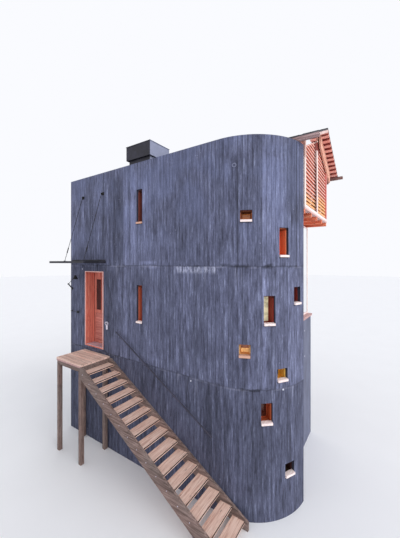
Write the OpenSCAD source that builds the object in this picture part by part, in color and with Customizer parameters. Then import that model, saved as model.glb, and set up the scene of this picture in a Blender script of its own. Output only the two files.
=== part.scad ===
// Alpine chalet: a tall board-marked concrete shell, rounded on its valley corner, wrapped round
// a narrow timber house whose gabled loggia looks out over the valley.
// Millimetres, +Z up. X runs along the flat front wall towards the valley, Y runs into the house.
// The origin is on the underside of the base slab, in the middle of the plan.

/* [Shell] */
// Length of the shell along the front wall
house_l = 7050; // [6800:10:8500]
// Width of the shell from the front face to the far face
house_w = 4100; // [4000:10:5200]
// Thickness of the concrete walls
wall_t = 360; // [300:5:420]
// Outer radius of the rounded valley corner
corner_r = 1470; // [1380:10:1600]
// Angle at which the rounded corner stops
corner_sweep = 84; // [82:1:88]
// Height of the lowest pour of concrete
lift_low = 2730; // [2650:5:2900]
// Height of the top pour of concrete
lift_top = 2730; // [2650:5:2900]

/* [Floors] */
// Thickness of the concrete floors
floor_t = 180; // [140:5:240]
// Height of the entry floor above the lowest joint in the concrete
entry_up = 70; // [40:5:120]
// Height of the half level behind the valley glazing above the lowest joint
valley_up = 920; // [820:10:1020]
// Height of the underside of the loggia above the upper joint
loggia_up = 1200; // [1150:10:1290]
// Distance of the step between the half levels from the uphill face
split_in = 3825; // [3500:10:4100]

/* [Entrance] */
// Distance of the door opening from the uphill face
door_in = 790; // [700:5:900]
// Width of the door opening in the concrete
door_w = 897; // [850:1:1000]
// Height of the door opening in the concrete
door_h = 2298; // [2200:1:2350]
// Depth of the concrete left over the door, up to the upper joint
lintel_h = 182; // [120:1:400]
// Thickness of the larch lining round the door
liner_t = 28; // [18:1:40]
// Thickness of the door leaf
leaf_t = 56; // [40:1:70]
// Clearance round the door leaf
leaf_gap = 9; // [8:0.5:12]
// Width of the glazed light in the door
light_w = 245; // [180:5:300]
// Height of the glazed light in the door
light_h = 965; // [700:5:1200]

/* [Windows] */
// Setback of the window lining from the concrete face
liner_back = 68; // [40:1:100]
// Thickness of the window lining
reveal_t = 22; // [16:1:30]
// Distance of the window glass from the inner face of the wall
glass_in = 60; // [40:5:120]
// Thickness of the glass units
glass_t = 24; // [16:1:40]
// Height of the front edge of a window sill
window_sill_h = 46; // [30:1:60]
// Fall of the top of a sill from the lining to its front edge
window_sill_fall = 6; // [3:1:15]
// How far a sill stands out of the concrete face
window_sill_out = 30; // [15:1:50]

/* [Valley side] */
// Recess of the valley base wall behind the end of the shell
valley_recess = 455; // [400:5:500]
// Thickness of the valley base wall
valley_t = 300; // [240:5:360]
// Setback of the glass face from the face of the base wall
glass_back = 103; // [60:1:140]
// Width of the timbers behind the glass
frame_w = 100; // [70:5:120]

/* [Loggia] */
// Width of the loggia posts and of the sill beam
post_w = 110; // [90:5:140]
// Distance by which the posts stand proud of the slats
post_proud = 26; // [10:1:40]
// Height of a slat
slat_h = 54; // [40:1:60]
// Distance from one slat to the next
slat_pitch = 96; // [80:1:110]
// Thickness of a slat
slat_t = 28; // [20:1:40]
// Depth of a loggia joist
joist_h = 100; // [80:5:140]
// Vertical drop of the near screen's top edge below the roof surface
screen_drop = 262; // [250:1:300]

/* [Roof] */
// Pitch of the gable roof
roof_pitch = 24.2; // [22:0.1:25]
// Height of the eaves above the top of the shell
eave_up = 134; // [120:1:220]
// Distance of the near eave from the front face
eave_in = 1104; // [1060:2:1160]
// Overhang of the far eave past the far face
eave_past = 636; // [580:2:700]
// Overhang of the roof past the loggia
verge_out = 240; // [200:5:350]
// Thickness of the roof boards and their sheet metal
deck_t = 30; // [20:1:40]
// Height of a roof batten
batten_h = 64; // [50:1:70]
// Width of a roof batten
batten_w = 95; // [70:1:110]
// Distance from one roof batten to the next
batten_pitch = 181; // [170:1:200]
// Depth of a rafter
rafter_h = 120; // [90:5:140]
// Width of a rafter
rafter_w = 80; // [60:5:100]
// Depth of the barge board
barge_h = 290; // [240:5:320]
// Thickness of the barge board
barge_t = 45; // [30:5:60]

/* [Stair] */
// Width of the stair over its strings
stair_w = 940; // [900:10:1100]
// Height of the landing
landing_z = 2660; // [2600:5:2700]
// Number of risers
risers = 16; // [15:1:17]
// Going of a step
going = 285; // [270:1:290]
// Thickness of a tread
tread_t = 40; // [30:1:50]
// Height of the handrail over the line of the nosings
rail_up = 980; // [900:10:1050]

/* [Canopy] */
// Projection of the canopy over the door
canopy_out = 720; // [600:10:800]
// Height of the underside of the canopy above the upper joint
canopy_up = 65; // [40:5:120]
// Depth of the folded edge of the canopy
canopy_t = 60; // [40:5:80]
// Diameter of the canopy rods
rod_d = 14; // [10:1:20]

/* [Hidden] */

// Colours of the finishes
concrete = "#555a68";
pale_concrete = "#8d9096";
larch = "#c0562f";
pale_larch = "#d9b79c";
old_timber = "#6d5a4e";
dark_metal = "#23252a";
grey_metal = "#9a9da0";
pane = "#b8c4c8";

// Gap left between a curved or sloping face and what is seated on it
eps = 0.3;
// How far a cutter reaches past the faces it cuts
past = 10;
round_fn = 360;
front_y = -house_w / 2;
far_y = house_w / 2;
uphill_x = -house_l / 2;
valley_x = house_l / 2;
corner_x = valley_x - corner_r;
corner_y = front_y + corner_r;
inner_r = corner_r - wall_t;
room_y0 = front_y + wall_t;
room_y1 = far_y - wall_t;
joint_low = lift_low;
lift_mid = entry_up + door_h + lintel_h;
joint_top = lift_low + lift_mid;
wall_top = joint_top + lift_top;
shell_end_y = corner_y - inner_r * cos(corner_sweep);
slab_t = 150;

floor_top = joint_low + entry_up;
upper_top = joint_top + entry_up;
valley_level = joint_low + valley_up;
loggia_level = joint_top + loggia_up;
split_x = uphill_x + split_in;

// Valley side: base wall, ledge, and glass in front of its frame
facade_x = valley_x - valley_recess;
base_back = facade_x - valley_t;
glass_x = facade_x - glass_back;
frame_x = glass_x - glass_t - frame_w;
base_top = valley_level + 50;
ledge_t = 60;
ledge_out = 40;
screen_z = base_top + ledge_t;

// Loggia
plank_t = 40;
loggia_top = loggia_level + joist_h + plank_t;
sill_z = loggia_level + joist_h;
sill_top = sill_z + post_w;
slat_face = valley_x - 12;
slat_back = slat_face - slat_t;
post_face = slat_face + post_proud;
post_back = post_face - post_w;
lath_w = 40;
lath_t = 20;
loggia_y0 = shell_end_y + eps;
post_ys = [loggia_y0, (loggia_y0 + far_y - post_w) / 2, far_y - post_w];

// Entrance
door_x = uphill_x + door_in;
door_top = floor_top + door_h;

// Windows in the flat front wall: sill height, width, height
slot_x = door_x + 2395;
slot_upper = [joint_top + 1109, 212, 908];
slot_lower = [joint_low + 1034, 206, 999];
// Windows in the rounded corner: angle round the corner, sill height, width, height
corner_top_windows = [[24.2, joint_top + 924, 249, 248],
                      [56.6, joint_top + 194, 237, 623]];
corner_mid_windows = [[23.0, joint_low + 660, 241, 271],
                      [43.2, joint_low + 1326, 247, 615],
                      [55.1, joint_low + 139, 255, 270],
                      [72.5, joint_low + 1720, 240, 385]];
corner_low_windows = [[41.0, joint_low - 722, 247, 447],
                      [62.8, joint_low - 1896, 262, 283]];
corner_windows = concat(corner_top_windows, corner_mid_windows, corner_low_windows);
// Angles at which the rounded corner is divided
split_low = 52;
split_mid_a = 33;
split_mid_b = 64;
split_top = 40;

// Roof: drops are vertical distances below the roof surface
roof_rise = tan(roof_pitch);
eave_near_y = front_y + eave_in;
eave_far_y = far_y + eave_past;
ridge_y = (eave_near_y + eave_far_y) / 2;
eave_out = (eave_far_y - eave_near_y) / 2;
eave_z = wall_top + eave_up;
ridge_z = eave_z + eave_out * roof_rise;
roof_x0 = uphill_x - 120;
roof_x1 = valley_x + verge_out;
lip_t = 6;
lip_h = 45;
fascia_t = 25;
edge_h = 122;
deck_v = deck_t / cos(roof_pitch);
batten_low = (deck_t + eps + batten_h) / cos(roof_pitch);
rafter_top = batten_low + eps;
rafter_low = rafter_top + rafter_h / cos(roof_pitch);
barge_low = rafter_top + barge_h / cos(roof_pitch);
rafter_out = eave_out - lip_t - fascia_t - 2 * eps;
batten_first = 137;
ridge_batten = 46;
batten_room = rafter_out / cos(roof_pitch) - batten_first - batten_w;
batten_count = floor(batten_room / batten_pitch) + 1;
flat_roof_z = wall_top - 130;
flat_roof_low = flat_roof_z - floor_t;
side_near_y = eave_near_y + 486;
side_far_y = far_y - wall_t / 2;
side_t = 100;
tail_clear = 8;

function slope_z(y, drop) = ridge_z - abs(y - ridge_y) * roof_rise - drop;

module block(x0, x1, y0, y1, z0, z1) {
    translate([x0, y0, z0]) cube([x1 - x0, y1 - y0, z1 - z0]);
}

// A round bar between two points
module bar(p, q, d) {
    v = q - p;
    translate(p) rotate([0, acos(v[2] / norm(v)), atan2(v[1], v[0])])
        cylinder(d = d, h = norm(v), $fn = 24);
}

// A round plate fixed flat against the front wall
module rosette(x, z, d, t) {
    translate([x, front_y, z]) rotate([90, 0, 0]) cylinder(d = d, h = t, $fn = 32);
}

// A profile drawn across the house, as [y, z] points, and drawn out along X
module along_x(x0, x1, points) {
    translate([x1, 0, 0]) rotate([90, 0, -90]) linear_extrude(x1 - x0)
        polygon([for (p = points) [-p[0], p[1]]]);
}

// A slice of the rounded corner between two angles
module corner_piece(a0, a1, z0, z1) {
    far = 3 * corner_r;
    mid = (a0 + a1) / 2;
    translate([corner_x, corner_y, z0]) linear_extrude(z1 - z0) intersection() {
        difference() {
            circle(r = corner_r, $fn = round_fn);
            circle(r = inner_r, $fn = round_fn);
        }
        polygon([[0, 0], for (a = [a0, mid, a1]) [far * sin(a), -far * cos(a)]]);
    }
}

// The hole of a window in the rounded corner, cut straight towards its centre
module corner_cut(w) {
    translate([corner_x, corner_y, 0]) rotate([0, 0, w[0]])
        block(-w[2] / 2, w[2] / 2, -corner_r - 60, -inner_r + 120, w[1], w[1] + w[3]);
}

module corner_wall(a0, a1, z0, z1, windows) {
    difference() {
        corner_piece(a0, a1, z0, z1);
        for (w = windows) corner_cut(w);
    }
}

// A tall slot window in the flat walls
module slot_cut(w, y0, y1) {
    block(slot_x - w[1] / 2, slot_x + w[1] / 2, y0 - past, y1 + past, w[0], w[0] + w[2]);
}

// Plan of the room inside the shell, out to a line across the valley side
module room_plan(x0, x1, gap) {
    intersection() {
        union() {
            translate([x0, room_y0 + gap]) square([min(corner_x, x1) - x0, house_w]);
            if (x1 > corner_x) {
                translate([corner_x - 1, corner_y]) square([x1 - corner_x + 1, house_w]);
                translate([corner_x, corner_y]) circle(r = inner_r - gap, $fn = round_fn);
            }
        }
        translate([x0, front_y]) square([x1 - x0, house_w - wall_t]);
    }
}

// Plan of the open valley side, from the shell's inner face to the far corner
module facade_plan(x0, x1, gap) {
    intersection() {
        translate([x0, front_y]) square([x1 - x0, house_w]);
        union() {
            translate([corner_x, corner_y]) circle(r = inner_r - gap, $fn = round_fn);
            translate([corner_x, corner_y]) square([house_l, house_w]);
        }
    }
}

// Where the inner face of the rounded corner meets a line across the house
function inner_y(x) = corner_y - sqrt(pow(inner_r, 2) - pow(x - corner_x, 2));

module base_slab() {
    color(concrete) linear_extrude(slab_t) room_plan(uphill_x + wall_t, base_back, eps);
}

module wall_low_front() {
    color(concrete) block(uphill_x, corner_x, front_y, room_y0, 0, joint_low);
}

module wall_low_corner_a() {
    color(concrete) corner_wall(0, split_low, 0, joint_low, [corner_low_windows[0]]);
}

module wall_low_corner_b() {
    color(concrete) corner_wall(split_low, corner_sweep, 0, joint_low, [corner_low_windows[1]]);
}

module wall_mid_uphill() {
    color(concrete) block(uphill_x, door_x, front_y, room_y0, joint_low, joint_top);
}

module wall_mid_lintel() {
    color(concrete) {
        block(door_x, door_x + door_w, front_y, room_y0, door_top, joint_top);
        block(door_x, door_x + door_w, front_y, room_y0, joint_low, floor_top);
    }
}

module wall_mid_front() {
    color(concrete) difference() {
        block(door_x + door_w, corner_x, front_y, room_y0, joint_low, joint_top);
        slot_cut(slot_lower, front_y, room_y0);
    }
}

module wall_mid_corner_a() {
    color(concrete) corner_wall(0, split_mid_a, joint_low, joint_top, [corner_mid_windows[0]]);
}

module wall_mid_corner_b() {
    color(concrete) corner_wall(split_mid_a, split_mid_b, joint_low, joint_top,
                                [corner_mid_windows[1], corner_mid_windows[2]]);
}

module wall_mid_corner_c() {
    color(concrete) corner_wall(split_mid_b, corner_sweep, joint_low, joint_top,
                                [corner_mid_windows[3]]);
}

module wall_top_front() {
    color(concrete) difference() {
        block(uphill_x, corner_x, front_y, room_y0, joint_top, wall_top);
        slot_cut(slot_upper, front_y, room_y0);
    }
}

module wall_top_corner_a() {
    color(concrete) corner_wall(0, split_top, joint_top, wall_top, [corner_top_windows[0]]);
}

module wall_top_corner_b() {
    color(concrete) corner_wall(split_top, corner_sweep, joint_top, wall_top,
                                [corner_top_windows[1]]);
}

module uphill_wall() {
    color(concrete) block(uphill_x, uphill_x + wall_t, room_y0, room_y1, 0, wall_top);
}

module far_wall() {
    color(concrete) difference() {
        block(uphill_x, base_back, room_y1, far_y, 0, wall_top);
        for (w = [slot_upper, slot_lower]) slot_cut(w, room_y1, far_y);
    }
}

module uphill_floors() {
    color(pale_concrete) for (top = [floor_top, upper_top])
        translate([0, 0, top - floor_t]) linear_extrude(floor_t)
            room_plan(uphill_x + wall_t, split_x, eps);
}

module valley_floor() {
    color(pale_concrete) translate([0, 0, valley_level - floor_t]) linear_extrude(floor_t)
        room_plan(split_x, base_back, eps);
}

module valley_base() {
    color(pale_concrete) linear_extrude(base_top) facade_plan(base_back, facade_x, eps);
}

module valley_ledge() {
    color(pale_larch) translate([0, 0, base_top]) linear_extrude(ledge_t)
        facade_plan(base_back, facade_x + ledge_out, eps);
}

frame_y0 = inner_y(frame_x + frame_w) + 1;
frame_mid = (frame_y0 + far_y) / 2;

// One storey of the timber frame behind the glass: sill, head and three posts
module frame_storey(z0, z1) {
    block(frame_x, frame_x + frame_w, frame_y0, far_y, z0, z0 + frame_w);
    block(frame_x, frame_x + frame_w, frame_y0, far_y, z1 - frame_w, z1);
    for (y = [frame_y0, frame_mid - frame_w / 2, far_y - frame_w])
        block(frame_x, frame_x + frame_w, y, y + frame_w, z0, z1);
    // The return that closes the corner with the far wall
    block(base_back, frame_x, far_y - frame_w, far_y, z0, z1);
}

module valley_frame() {
    color(larch) {
        frame_storey(screen_z, loggia_level);
        frame_storey(loggia_top, flat_roof_low);
    }
}

// Glass butted in front of the frame, in two bays on each storey
module valley_glass() {
    glass_y0 = inner_y(glass_x) + 1;
    joint = 3;
    color(pane) for (z = [[screen_z, loggia_level - 2], [loggia_top, flat_roof_low - 2]]) {
        block(glass_x - glass_t, glass_x, glass_y0, frame_mid - joint, z[0], z[1]);
        block(glass_x - glass_t, glass_x, frame_mid + joint, far_y, z[0], z[1]);
    }
}

// Boards of the gallery and of the loggia in front of it
module loggia_floor() {
    color(larch) translate([0, 0, sill_z]) linear_extrude(plank_t) {
        room_plan(split_x, base_back, eps);
        facade_plan(base_back, post_back - eps, eps);
    }
}

// Joists that run out under the loggia, on a header beam over the step in the floors
module loggia_joists() {
    joists = 5;
    step = (far_y - loggia_y0 - rafter_w) / (joists - 1);
    header_h = 140;
    color(larch) {
        for (i = [0 : joists - 1]) {
            x0 = i < joists - 1 ? split_x : base_back;
            y0 = loggia_y0 + i * step;
            block(x0, valley_x, y0, y0 + rafter_w, loggia_level, sill_z);
        }
        block(split_x, split_x + rafter_w, room_y0 + eps, room_y1 - eps,
              loggia_level - header_h, loggia_level);
    }
}

// The sill beam of the loggia, on the ends of the joists
module loggia_rails() {
    color(pale_larch) block(post_back, post_face, loggia_y0, far_y, sill_z, sill_top);
}

// Top of the middle post, under the board in the point of the gable
post_mid_top = slope_z(post_ys[1] + post_w / 2, 530);

// Posts; the outer two are notched round the last rafter and run on up in front of it
module loggia_posts() {
    notch_x = valley_x - slat_t + eps;
    color(pale_larch) {
        for (y = [post_ys[0], post_ys[2]]) {
            y_low = y < ridge_y ? y : y + post_w;
            block(post_back, notch_x, y, y + post_w, sill_top, slope_z(y_low, rafter_low));
            block(notch_x, post_face, y, y + post_w, sill_top, slope_z(y_low, rafter_top + eps));
        }
        block(post_back, post_face, post_ys[1], post_ys[1] + post_w, sill_top, post_mid_top);
    }
}

board_y0 = post_ys[1] - 136;
board_y1 = ridge_y + 136;
rake_h = 40;

// Slats and their upright laths, kept inside an outline across the house
module slats(y0, y1, outline) {
    n = ceil((ridge_z - sill_top) / slat_pitch);
    intersection() {
        union() {
            for (i = [0 : n]) {
                z = sill_top + slat_pitch - slat_h + i * slat_pitch;
                block(slat_back, slat_face, y0, y1, z, z + slat_h);
            }
            for (y = [y0, (y0 + y1 - lath_w) / 2, y1 - lath_w])
                block(slat_back - lath_t, slat_back, y, y + lath_w, sill_top, ridge_z);
        }
        along_x(slat_back - lath_t - past, slat_face + past, outline);
    }
}

// A raking bar along the sloping top of a screen
module rake(y0, y1, drop) {
    along_x(slat_back, slat_face, [[y0, slope_z(y0, drop)], [y1, slope_z(y1, drop)],
                                   [y1, slope_z(y1, drop + rake_h)], [y0, slope_z(y0, drop + rake_h)]]);
}

module loggia_screen_near() {
    y0 = post_ys[0] + post_w + eps;
    y1 = post_ys[1] - eps;
    y_top = board_y0 - eps;
    drop = screen_drop + rake_h / 2;
    color(larch) {
        slats(y0, y1, [[y0, sill_top], [y1, sill_top], [y1, post_mid_top], [y_top, post_mid_top],
                       [y_top, slope_z(y_top, drop)], [y0, slope_z(y0, drop)]]);
        rake(y0, ridge_y, screen_drop);
    }
}

module loggia_screen_far() {
    y0 = post_ys[1] + post_w + eps;
    y1 = post_ys[2] - eps;
    y_top = board_y1 + eps;
    drop = screen_drop + rake_h / 2;
    color(larch) {
        slats(y0, y1, [[y0, sill_top], [y1, sill_top], [y1, slope_z(y1, drop)],
                       [y_top, slope_z(y_top, drop)], [y_top, post_mid_top], [y0, post_mid_top]]);
        rake(ridge_y + eps, y1, screen_drop);
    }
}

// The board in the point of the gable, over the middle post
module gable_board() {
    low = post_mid_top + eps;
    drop = screen_drop + rake_h + eps;
    color(larch) along_x(slat_back, slat_face,
        [[board_y0, low], [board_y1, low], [board_y1, slope_z(board_y1, drop)],
         [ridge_y, slope_z(ridge_y, drop)], [board_y0, slope_z(board_y0, drop)]]);
}

// Panes between the raking bars and the battens
module gable_glass() {
    high = rafter_top + eps;
    low = screen_drop - eps;
    color(pane) for (y = [[post_ys[0] + post_w + eps, ridge_y - 1], [ridge_y + 1, post_ys[2] - eps]])
        along_x(valley_x - glass_t, valley_x,
            [[y[0], slope_z(y[0], high)], [y[1], slope_z(y[1], high)],
             [y[1], slope_z(y[1], low)], [y[0], slope_z(y[0], low)]]);
}

// Slats and end laths on the far side of the loggia
module loggia_side() {
    x0 = glass_x + eps;
    x1 = post_back - eps;
    top = slope_z(far_y, rafter_low);
    n = floor((top - loggia_top) / slat_pitch);
    color(larch) {
        for (i = [0 : n - 1]) {
            z = loggia_top + slat_pitch - slat_h + i * slat_pitch;
            block(x0, x1, far_y - slat_t, far_y, z, z + slat_h);
        }
        for (x = [x0, x1 - lath_w])
            block(x, x + lath_w, far_y - slat_t - lath_t, far_y - slat_t, loggia_top, top);
    }
}

// The flat strip of roof behind the front wall's upstand
module flat_roof() {
    x1 = corner_x + inner_r - eps;
    color(dark_metal) translate([0, 0, flat_roof_low]) linear_extrude(floor_t) intersection() {
        room_plan(uphill_x + wall_t, x1, eps);
        translate([uphill_x, front_y]) square([house_l, side_near_y + side_t - front_y]);
    }
}

// Side walls of the gabled roof space
module roof_plates() {
    y1 = side_near_y + side_t;
    top = slope_z(side_near_y, rafter_low);
    color(old_timber) {
        block(uphill_x + wall_t, corner_x + inner_r - eps, side_near_y, y1, flat_roof_z, top);
        block(uphill_x + side_t, uphill_x + wall_t, side_near_y, y1, wall_top, top);
        block(uphill_x, base_back, side_far_y, side_far_y + side_t, wall_top,
              slope_z(side_far_y + side_t, rafter_low));
    }
}

// A gable wall across the house, up to the underside of the rafters
module gable_panel(x0, x1, y0, y1, z0) {
    along_x(x0, x1, [[y0, z0], [y1, z0], [y1, slope_z(y1, rafter_low)],
                     [ridge_y, slope_z(ridge_y, rafter_low)], [y0, slope_z(y0, rafter_low)]]);
}

module gable_infill() {
    y0 = side_near_y + side_t;
    color(larch) {
        gable_panel(uphill_x + side_t, uphill_x + 2 * side_t, y0, side_far_y, wall_top);
        gable_panel(frame_x, frame_x + frame_w, y0, far_y - past, flat_roof_low);
    }
}

rafter_count = 8;
rafter_step = (house_l - slat_t - rafter_w) / (rafter_count - 1);
rafter_xs = [for (i = [0 : rafter_count - 1]) uphill_x + i * rafter_step];

// A layer of one roof slope with plumb-cut ends; side is -1 for the near slope, 1 for the far one
module slope_layer(side, x0, x1, drop_top, drop_low, out) {
    y1 = ridge_y + side * out;
    along_x(x0, x1, [[ridge_y, ridge_z - drop_top], [y1, slope_z(y1, drop_top)],
                     [y1, slope_z(y1, drop_low)], [ridge_y, ridge_z - drop_low]]);
}

// The tails of the near rafters are cut level over the top of the concrete shell
module rafters() {
    color(pale_larch) for (x = rafter_xs) {
        intersection() {
            slope_layer(-1, x, x + rafter_w, rafter_top, rafter_low, rafter_out);
            block(x - past, x + rafter_w + past, eave_near_y, ridge_y, wall_top + tail_clear, ridge_z);
        }
        slope_layer(1, x, x + rafter_w, rafter_top, rafter_low, rafter_out);
    }
}

// The deep board in front of the posts, under the batten ends of the far slope
barge_out = 1470;

module barge_rafter() {
    x0 = post_face + eps;
    color(pale_larch) slope_layer(1, x0, x0 + barge_t, rafter_top, barge_low, barge_out);
}

// Battens laid across the rafters, counted down from the ridge, under a mitred one on the ridge itself
module batten_slope(side) {
    slope_layer(side, roof_x0, roof_x1, deck_v + eps, batten_low, ridge_batten);
    translate([0, ridge_y, ridge_z]) mirror([0, side < 0 ? 1 : 0, 0]) rotate([-roof_pitch, 0, 0])
        for (i = [0 : batten_count - 1])
            translate([roof_x0, batten_first + i * batten_pitch, -deck_t - eps - batten_h])
                cube([roof_x1 - roof_x0, batten_w, batten_h]);
}

module battens() {
    color(old_timber) for (side = [-1, 1]) batten_slope(side);
}

// Roof boards and sheet metal, with the sheet folded down over the eave
module roof_sheet(side) {
    y1 = ridge_y + side * eave_out;
    y2 = y1 - side * lip_t;
    color(dark_metal) along_x(roof_x0, roof_x1,
        [[ridge_y, ridge_z], [y1, slope_z(y1, 0)], [y1, slope_z(y1, lip_h)], [y2, slope_z(y1, lip_h)],
         [y2, slope_z(y2, deck_v)], [ridge_y, ridge_z - deck_v]]);
}

module roof_deck_near() {
    roof_sheet(-1);
}

module roof_deck_far() {
    roof_sheet(1);
}

module ridge_cap() {
    cap_t = 20;
    cap_w = 140;
    color(dark_metal) for (side = [-1, 1])
        slope_layer(side, roof_x0, roof_x1, -cap_t, -eps, cap_w);
}

// Boards that close the rafter ends under the folded sheet
module eave_fascia() {
    color(old_timber) for (side = [-1, 1]) {
        y1 = ridge_y + side * (eave_out - lip_t - eps);
        y2 = y1 - side * fascia_t;
        low = slope_z(ridge_y + side * eave_out, edge_h);
        along_x(roof_x0 + past, roof_x1 - past,
                [[y1, slope_z(y1, deck_v + eps)], [y2, slope_z(y2, deck_v + eps)],
                 [y2, low], [y1, low]]);
    }
}

// Larch gutters, hollowed from the log and hung on the fascias, which run on past the verge
module eave_gutters() {
    gutter_w = 85;
    gutter_h = 80;
    gutter_wall = 15;
    gutter_past = 135;
    color(old_timber) for (side = [-1, 1]) {
        // The near one hangs under the folded sheet, clear of the shell; the far one outside it
        back = side < 0 ? lip_t + eps : 0;
        top = side < 0 ? wall_top + tail_clear + gutter_h : eave_z - 12;
        y0 = ridge_y + side * (eave_out - back + eps);
        y1 = y0 + side * gutter_w;
        along_x(roof_x0, roof_x1 + gutter_past,
            [[y0, top], [y0, top - gutter_h], [y1, top - gutter_h], [y1, top],
             [y1 - side * gutter_wall, top],
             [y1 - side * gutter_wall, top - gutter_h + gutter_wall],
             [y0 + side * gutter_wall, top - gutter_h + gutter_wall],
             [y0 + side * gutter_wall, top]]);
    }
}

// The vent box on the flat strip of roof: a hood on a narrower base
vent_x = uphill_x + 2261;
vent_l = 951;
vent_y = room_y0 + 10;
vent_w = 800;
vent_in = 60;
vent_z = wall_top + 325;
vent_h = 406;
vent_base_w = 570;

module vent_box() {
    lid_t = 14;
    lid_out = 12;
    color(dark_metal) {
        block(vent_x + vent_in, vent_x + vent_l - vent_in,
              vent_y + vent_in, vent_y + vent_in + vent_base_w, flat_roof_z, vent_z);
        block(vent_x, vent_x + vent_l, vent_y, vent_y + vent_w, vent_z, vent_z + vent_h - lid_t);
        block(vent_x - lid_out, vent_x + vent_l + lid_out, vent_y - lid_out, vent_y + vent_w + lid_out,
              vent_z + vent_h - lid_t, vent_z + vent_h);
    }
}

// A lining frame round one window, drawn at the origin with its face towards -Y
module lining(w, h, depth) {
    difference() {
        block(-w / 2, w / 2, 0, depth, 0, h);
        block(-w / 2 + reveal_t, w / 2 - reveal_t, -past, depth + past, reveal_t, h - reveal_t);
    }
}

lining_d = wall_t - liner_back;
// A lining in the rounded corner starts a little deeper, behind the curve of the wall
curve_back = 8;

module window_linings() {
    color(larch) {
        for (s = [slot_upper, slot_lower]) {
            translate([slot_x, front_y + liner_back, s[0]]) lining(s[1], s[2], lining_d);
            translate([slot_x, far_y - liner_back, s[0]]) mirror([0, 1, 0])
                lining(s[1], s[2], lining_d);
        }
        for (w = corner_windows)
            translate([corner_x, corner_y, 0]) rotate([0, 0, w[0]])
                translate([0, -corner_r + liner_back + curve_back, w[1]])
                    lining(w[2], w[3], lining_d - curve_back);
    }
}

// Sealed joint at each end of a window sill
window_sill_gap = 3;

// A sill in the foot of one opening, from the front of the lining out past the concrete face
module window_sill(w, back, out) {
    back_h = window_sill_h + window_sill_fall;
    translate([-w / 2 + window_sill_gap, 0, 0]) rotate([90, 0, 90])
        linear_extrude(w - 2 * window_sill_gap)
            polygon([[-out, 0], [back, 0], [back, back_h], [-out, window_sill_h]]);
}

module window_sills() {
    color(pale_larch) {
        for (s = [slot_upper, slot_lower]) {
            translate([slot_x, front_y, s[0]]) window_sill(s[1], liner_back, window_sill_out);
            translate([slot_x, far_y, s[0]]) mirror([0, 1, 0])
                window_sill(s[1], liner_back, window_sill_out);
        }
        for (w = corner_windows)
            translate([corner_x, corner_y, 0]) rotate([0, 0, w[0]]) translate([0, -corner_r, w[1]])
                window_sill(w[2], liner_back + curve_back, window_sill_out);
    }
}

module window_pane(w, h) {
    block(-w / 2 + reveal_t, w / 2 - reveal_t, 0, glass_t, reveal_t, h - reveal_t);
}

module window_glass() {
    color(pane) {
        for (s = [slot_upper, slot_lower]) {
            translate([slot_x, room_y0 - glass_in - glass_t, s[0]]) window_pane(s[1], s[2]);
            translate([slot_x, room_y1 + glass_in, s[0]]) window_pane(s[1], s[2]);
        }
        for (w = corner_windows)
            translate([corner_x, corner_y, 0]) rotate([0, 0, w[0]])
                translate([0, -inner_r - glass_in - glass_t, w[1]]) window_pane(w[2], w[3]);
    }
}

// The leaf closes against the inner end of the lining
leaf_y = room_y0 - leaf_t - 4;
leaf_x0 = door_x + liner_t + leaf_gap;
leaf_x1 = door_x + door_w - liner_t - leaf_gap;
leaf_z0 = floor_top + liner_t + leaf_gap;
leaf_z1 = door_top - liner_t - leaf_gap;
knuckle_r = 10;
knuckle_h = 50;
knuckle_gap = 2;
pin_r = 5;
pin_fit = 0.05;
hinge_x = leaf_x0 - 1;
hinge_y = room_y0 + knuckle_r + knuckle_gap;
hinge_zs = [leaf_z0 + 220, (leaf_z0 + leaf_z1) / 2, leaf_z1 - 280];

module door_frame() {
    trim = 4;
    color(larch) difference() {
        block(door_x, door_x + door_w, front_y - trim, room_y0, floor_top, door_top);
        block(door_x + liner_t, door_x + door_w - liner_t, front_y - trim - past, room_y0 + past,
              floor_top + liner_t, door_top - liner_t);
    }
}

// Lower knuckles and pins of the lift-off hinges, on plates across the end of the lining
module door_hinges() {
    plate_t = 6;
    color(grey_metal) for (z = hinge_zs) {
        translate([hinge_x, hinge_y, z]) cylinder(r = knuckle_r, h = knuckle_h, $fn = 32);
        translate([hinge_x, hinge_y, z + 10]) cylinder(r = pin_r, h = 2 * knuckle_h - 18, $fn = 32);
        block(door_x + 2, hinge_x, room_y0, room_y0 + plate_t, z, z + knuckle_h);
    }
}

light_x = leaf_x0 + 108;
// Distance from the head of the leaf down to the light
light_down = 226;
light_z = leaf_z1 - light_down - light_h;

module door_leaf() {
    plate_l = 70;
    plate_t = 10;
    color(larch) difference() {
        block(leaf_x0, leaf_x1, leaf_y, leaf_y + leaf_t, leaf_z0, leaf_z1);
        block(light_x, light_x + light_w, leaf_y - past, leaf_y + leaf_t + past,
              light_z, light_z + light_h);
    }
    // Upper knuckles, screwed to the inner face of the leaf
    color(grey_metal) for (z = hinge_zs) difference() {
        union() {
            translate([hinge_x, hinge_y, z + knuckle_h + eps])
                cylinder(r = knuckle_r, h = knuckle_h, $fn = 32);
            block(hinge_x, hinge_x + plate_l, leaf_y + leaf_t, leaf_y + leaf_t + plate_t,
                  z + knuckle_h + eps, z + 2 * knuckle_h);
        }
        translate([hinge_x, hinge_y, z])
            cylinder(r = pin_r + pin_fit, h = 2 * knuckle_h - 6, $fn = 32);
    }
}

module door_light() {
    y = leaf_y + (leaf_t - glass_t) / 2;
    color(pane) block(light_x, light_x + light_w, y, y + glass_t, light_z, light_z + light_h);
}

handle_x = leaf_x1 - 60;
handle_z = floor_top + 1030;

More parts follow.
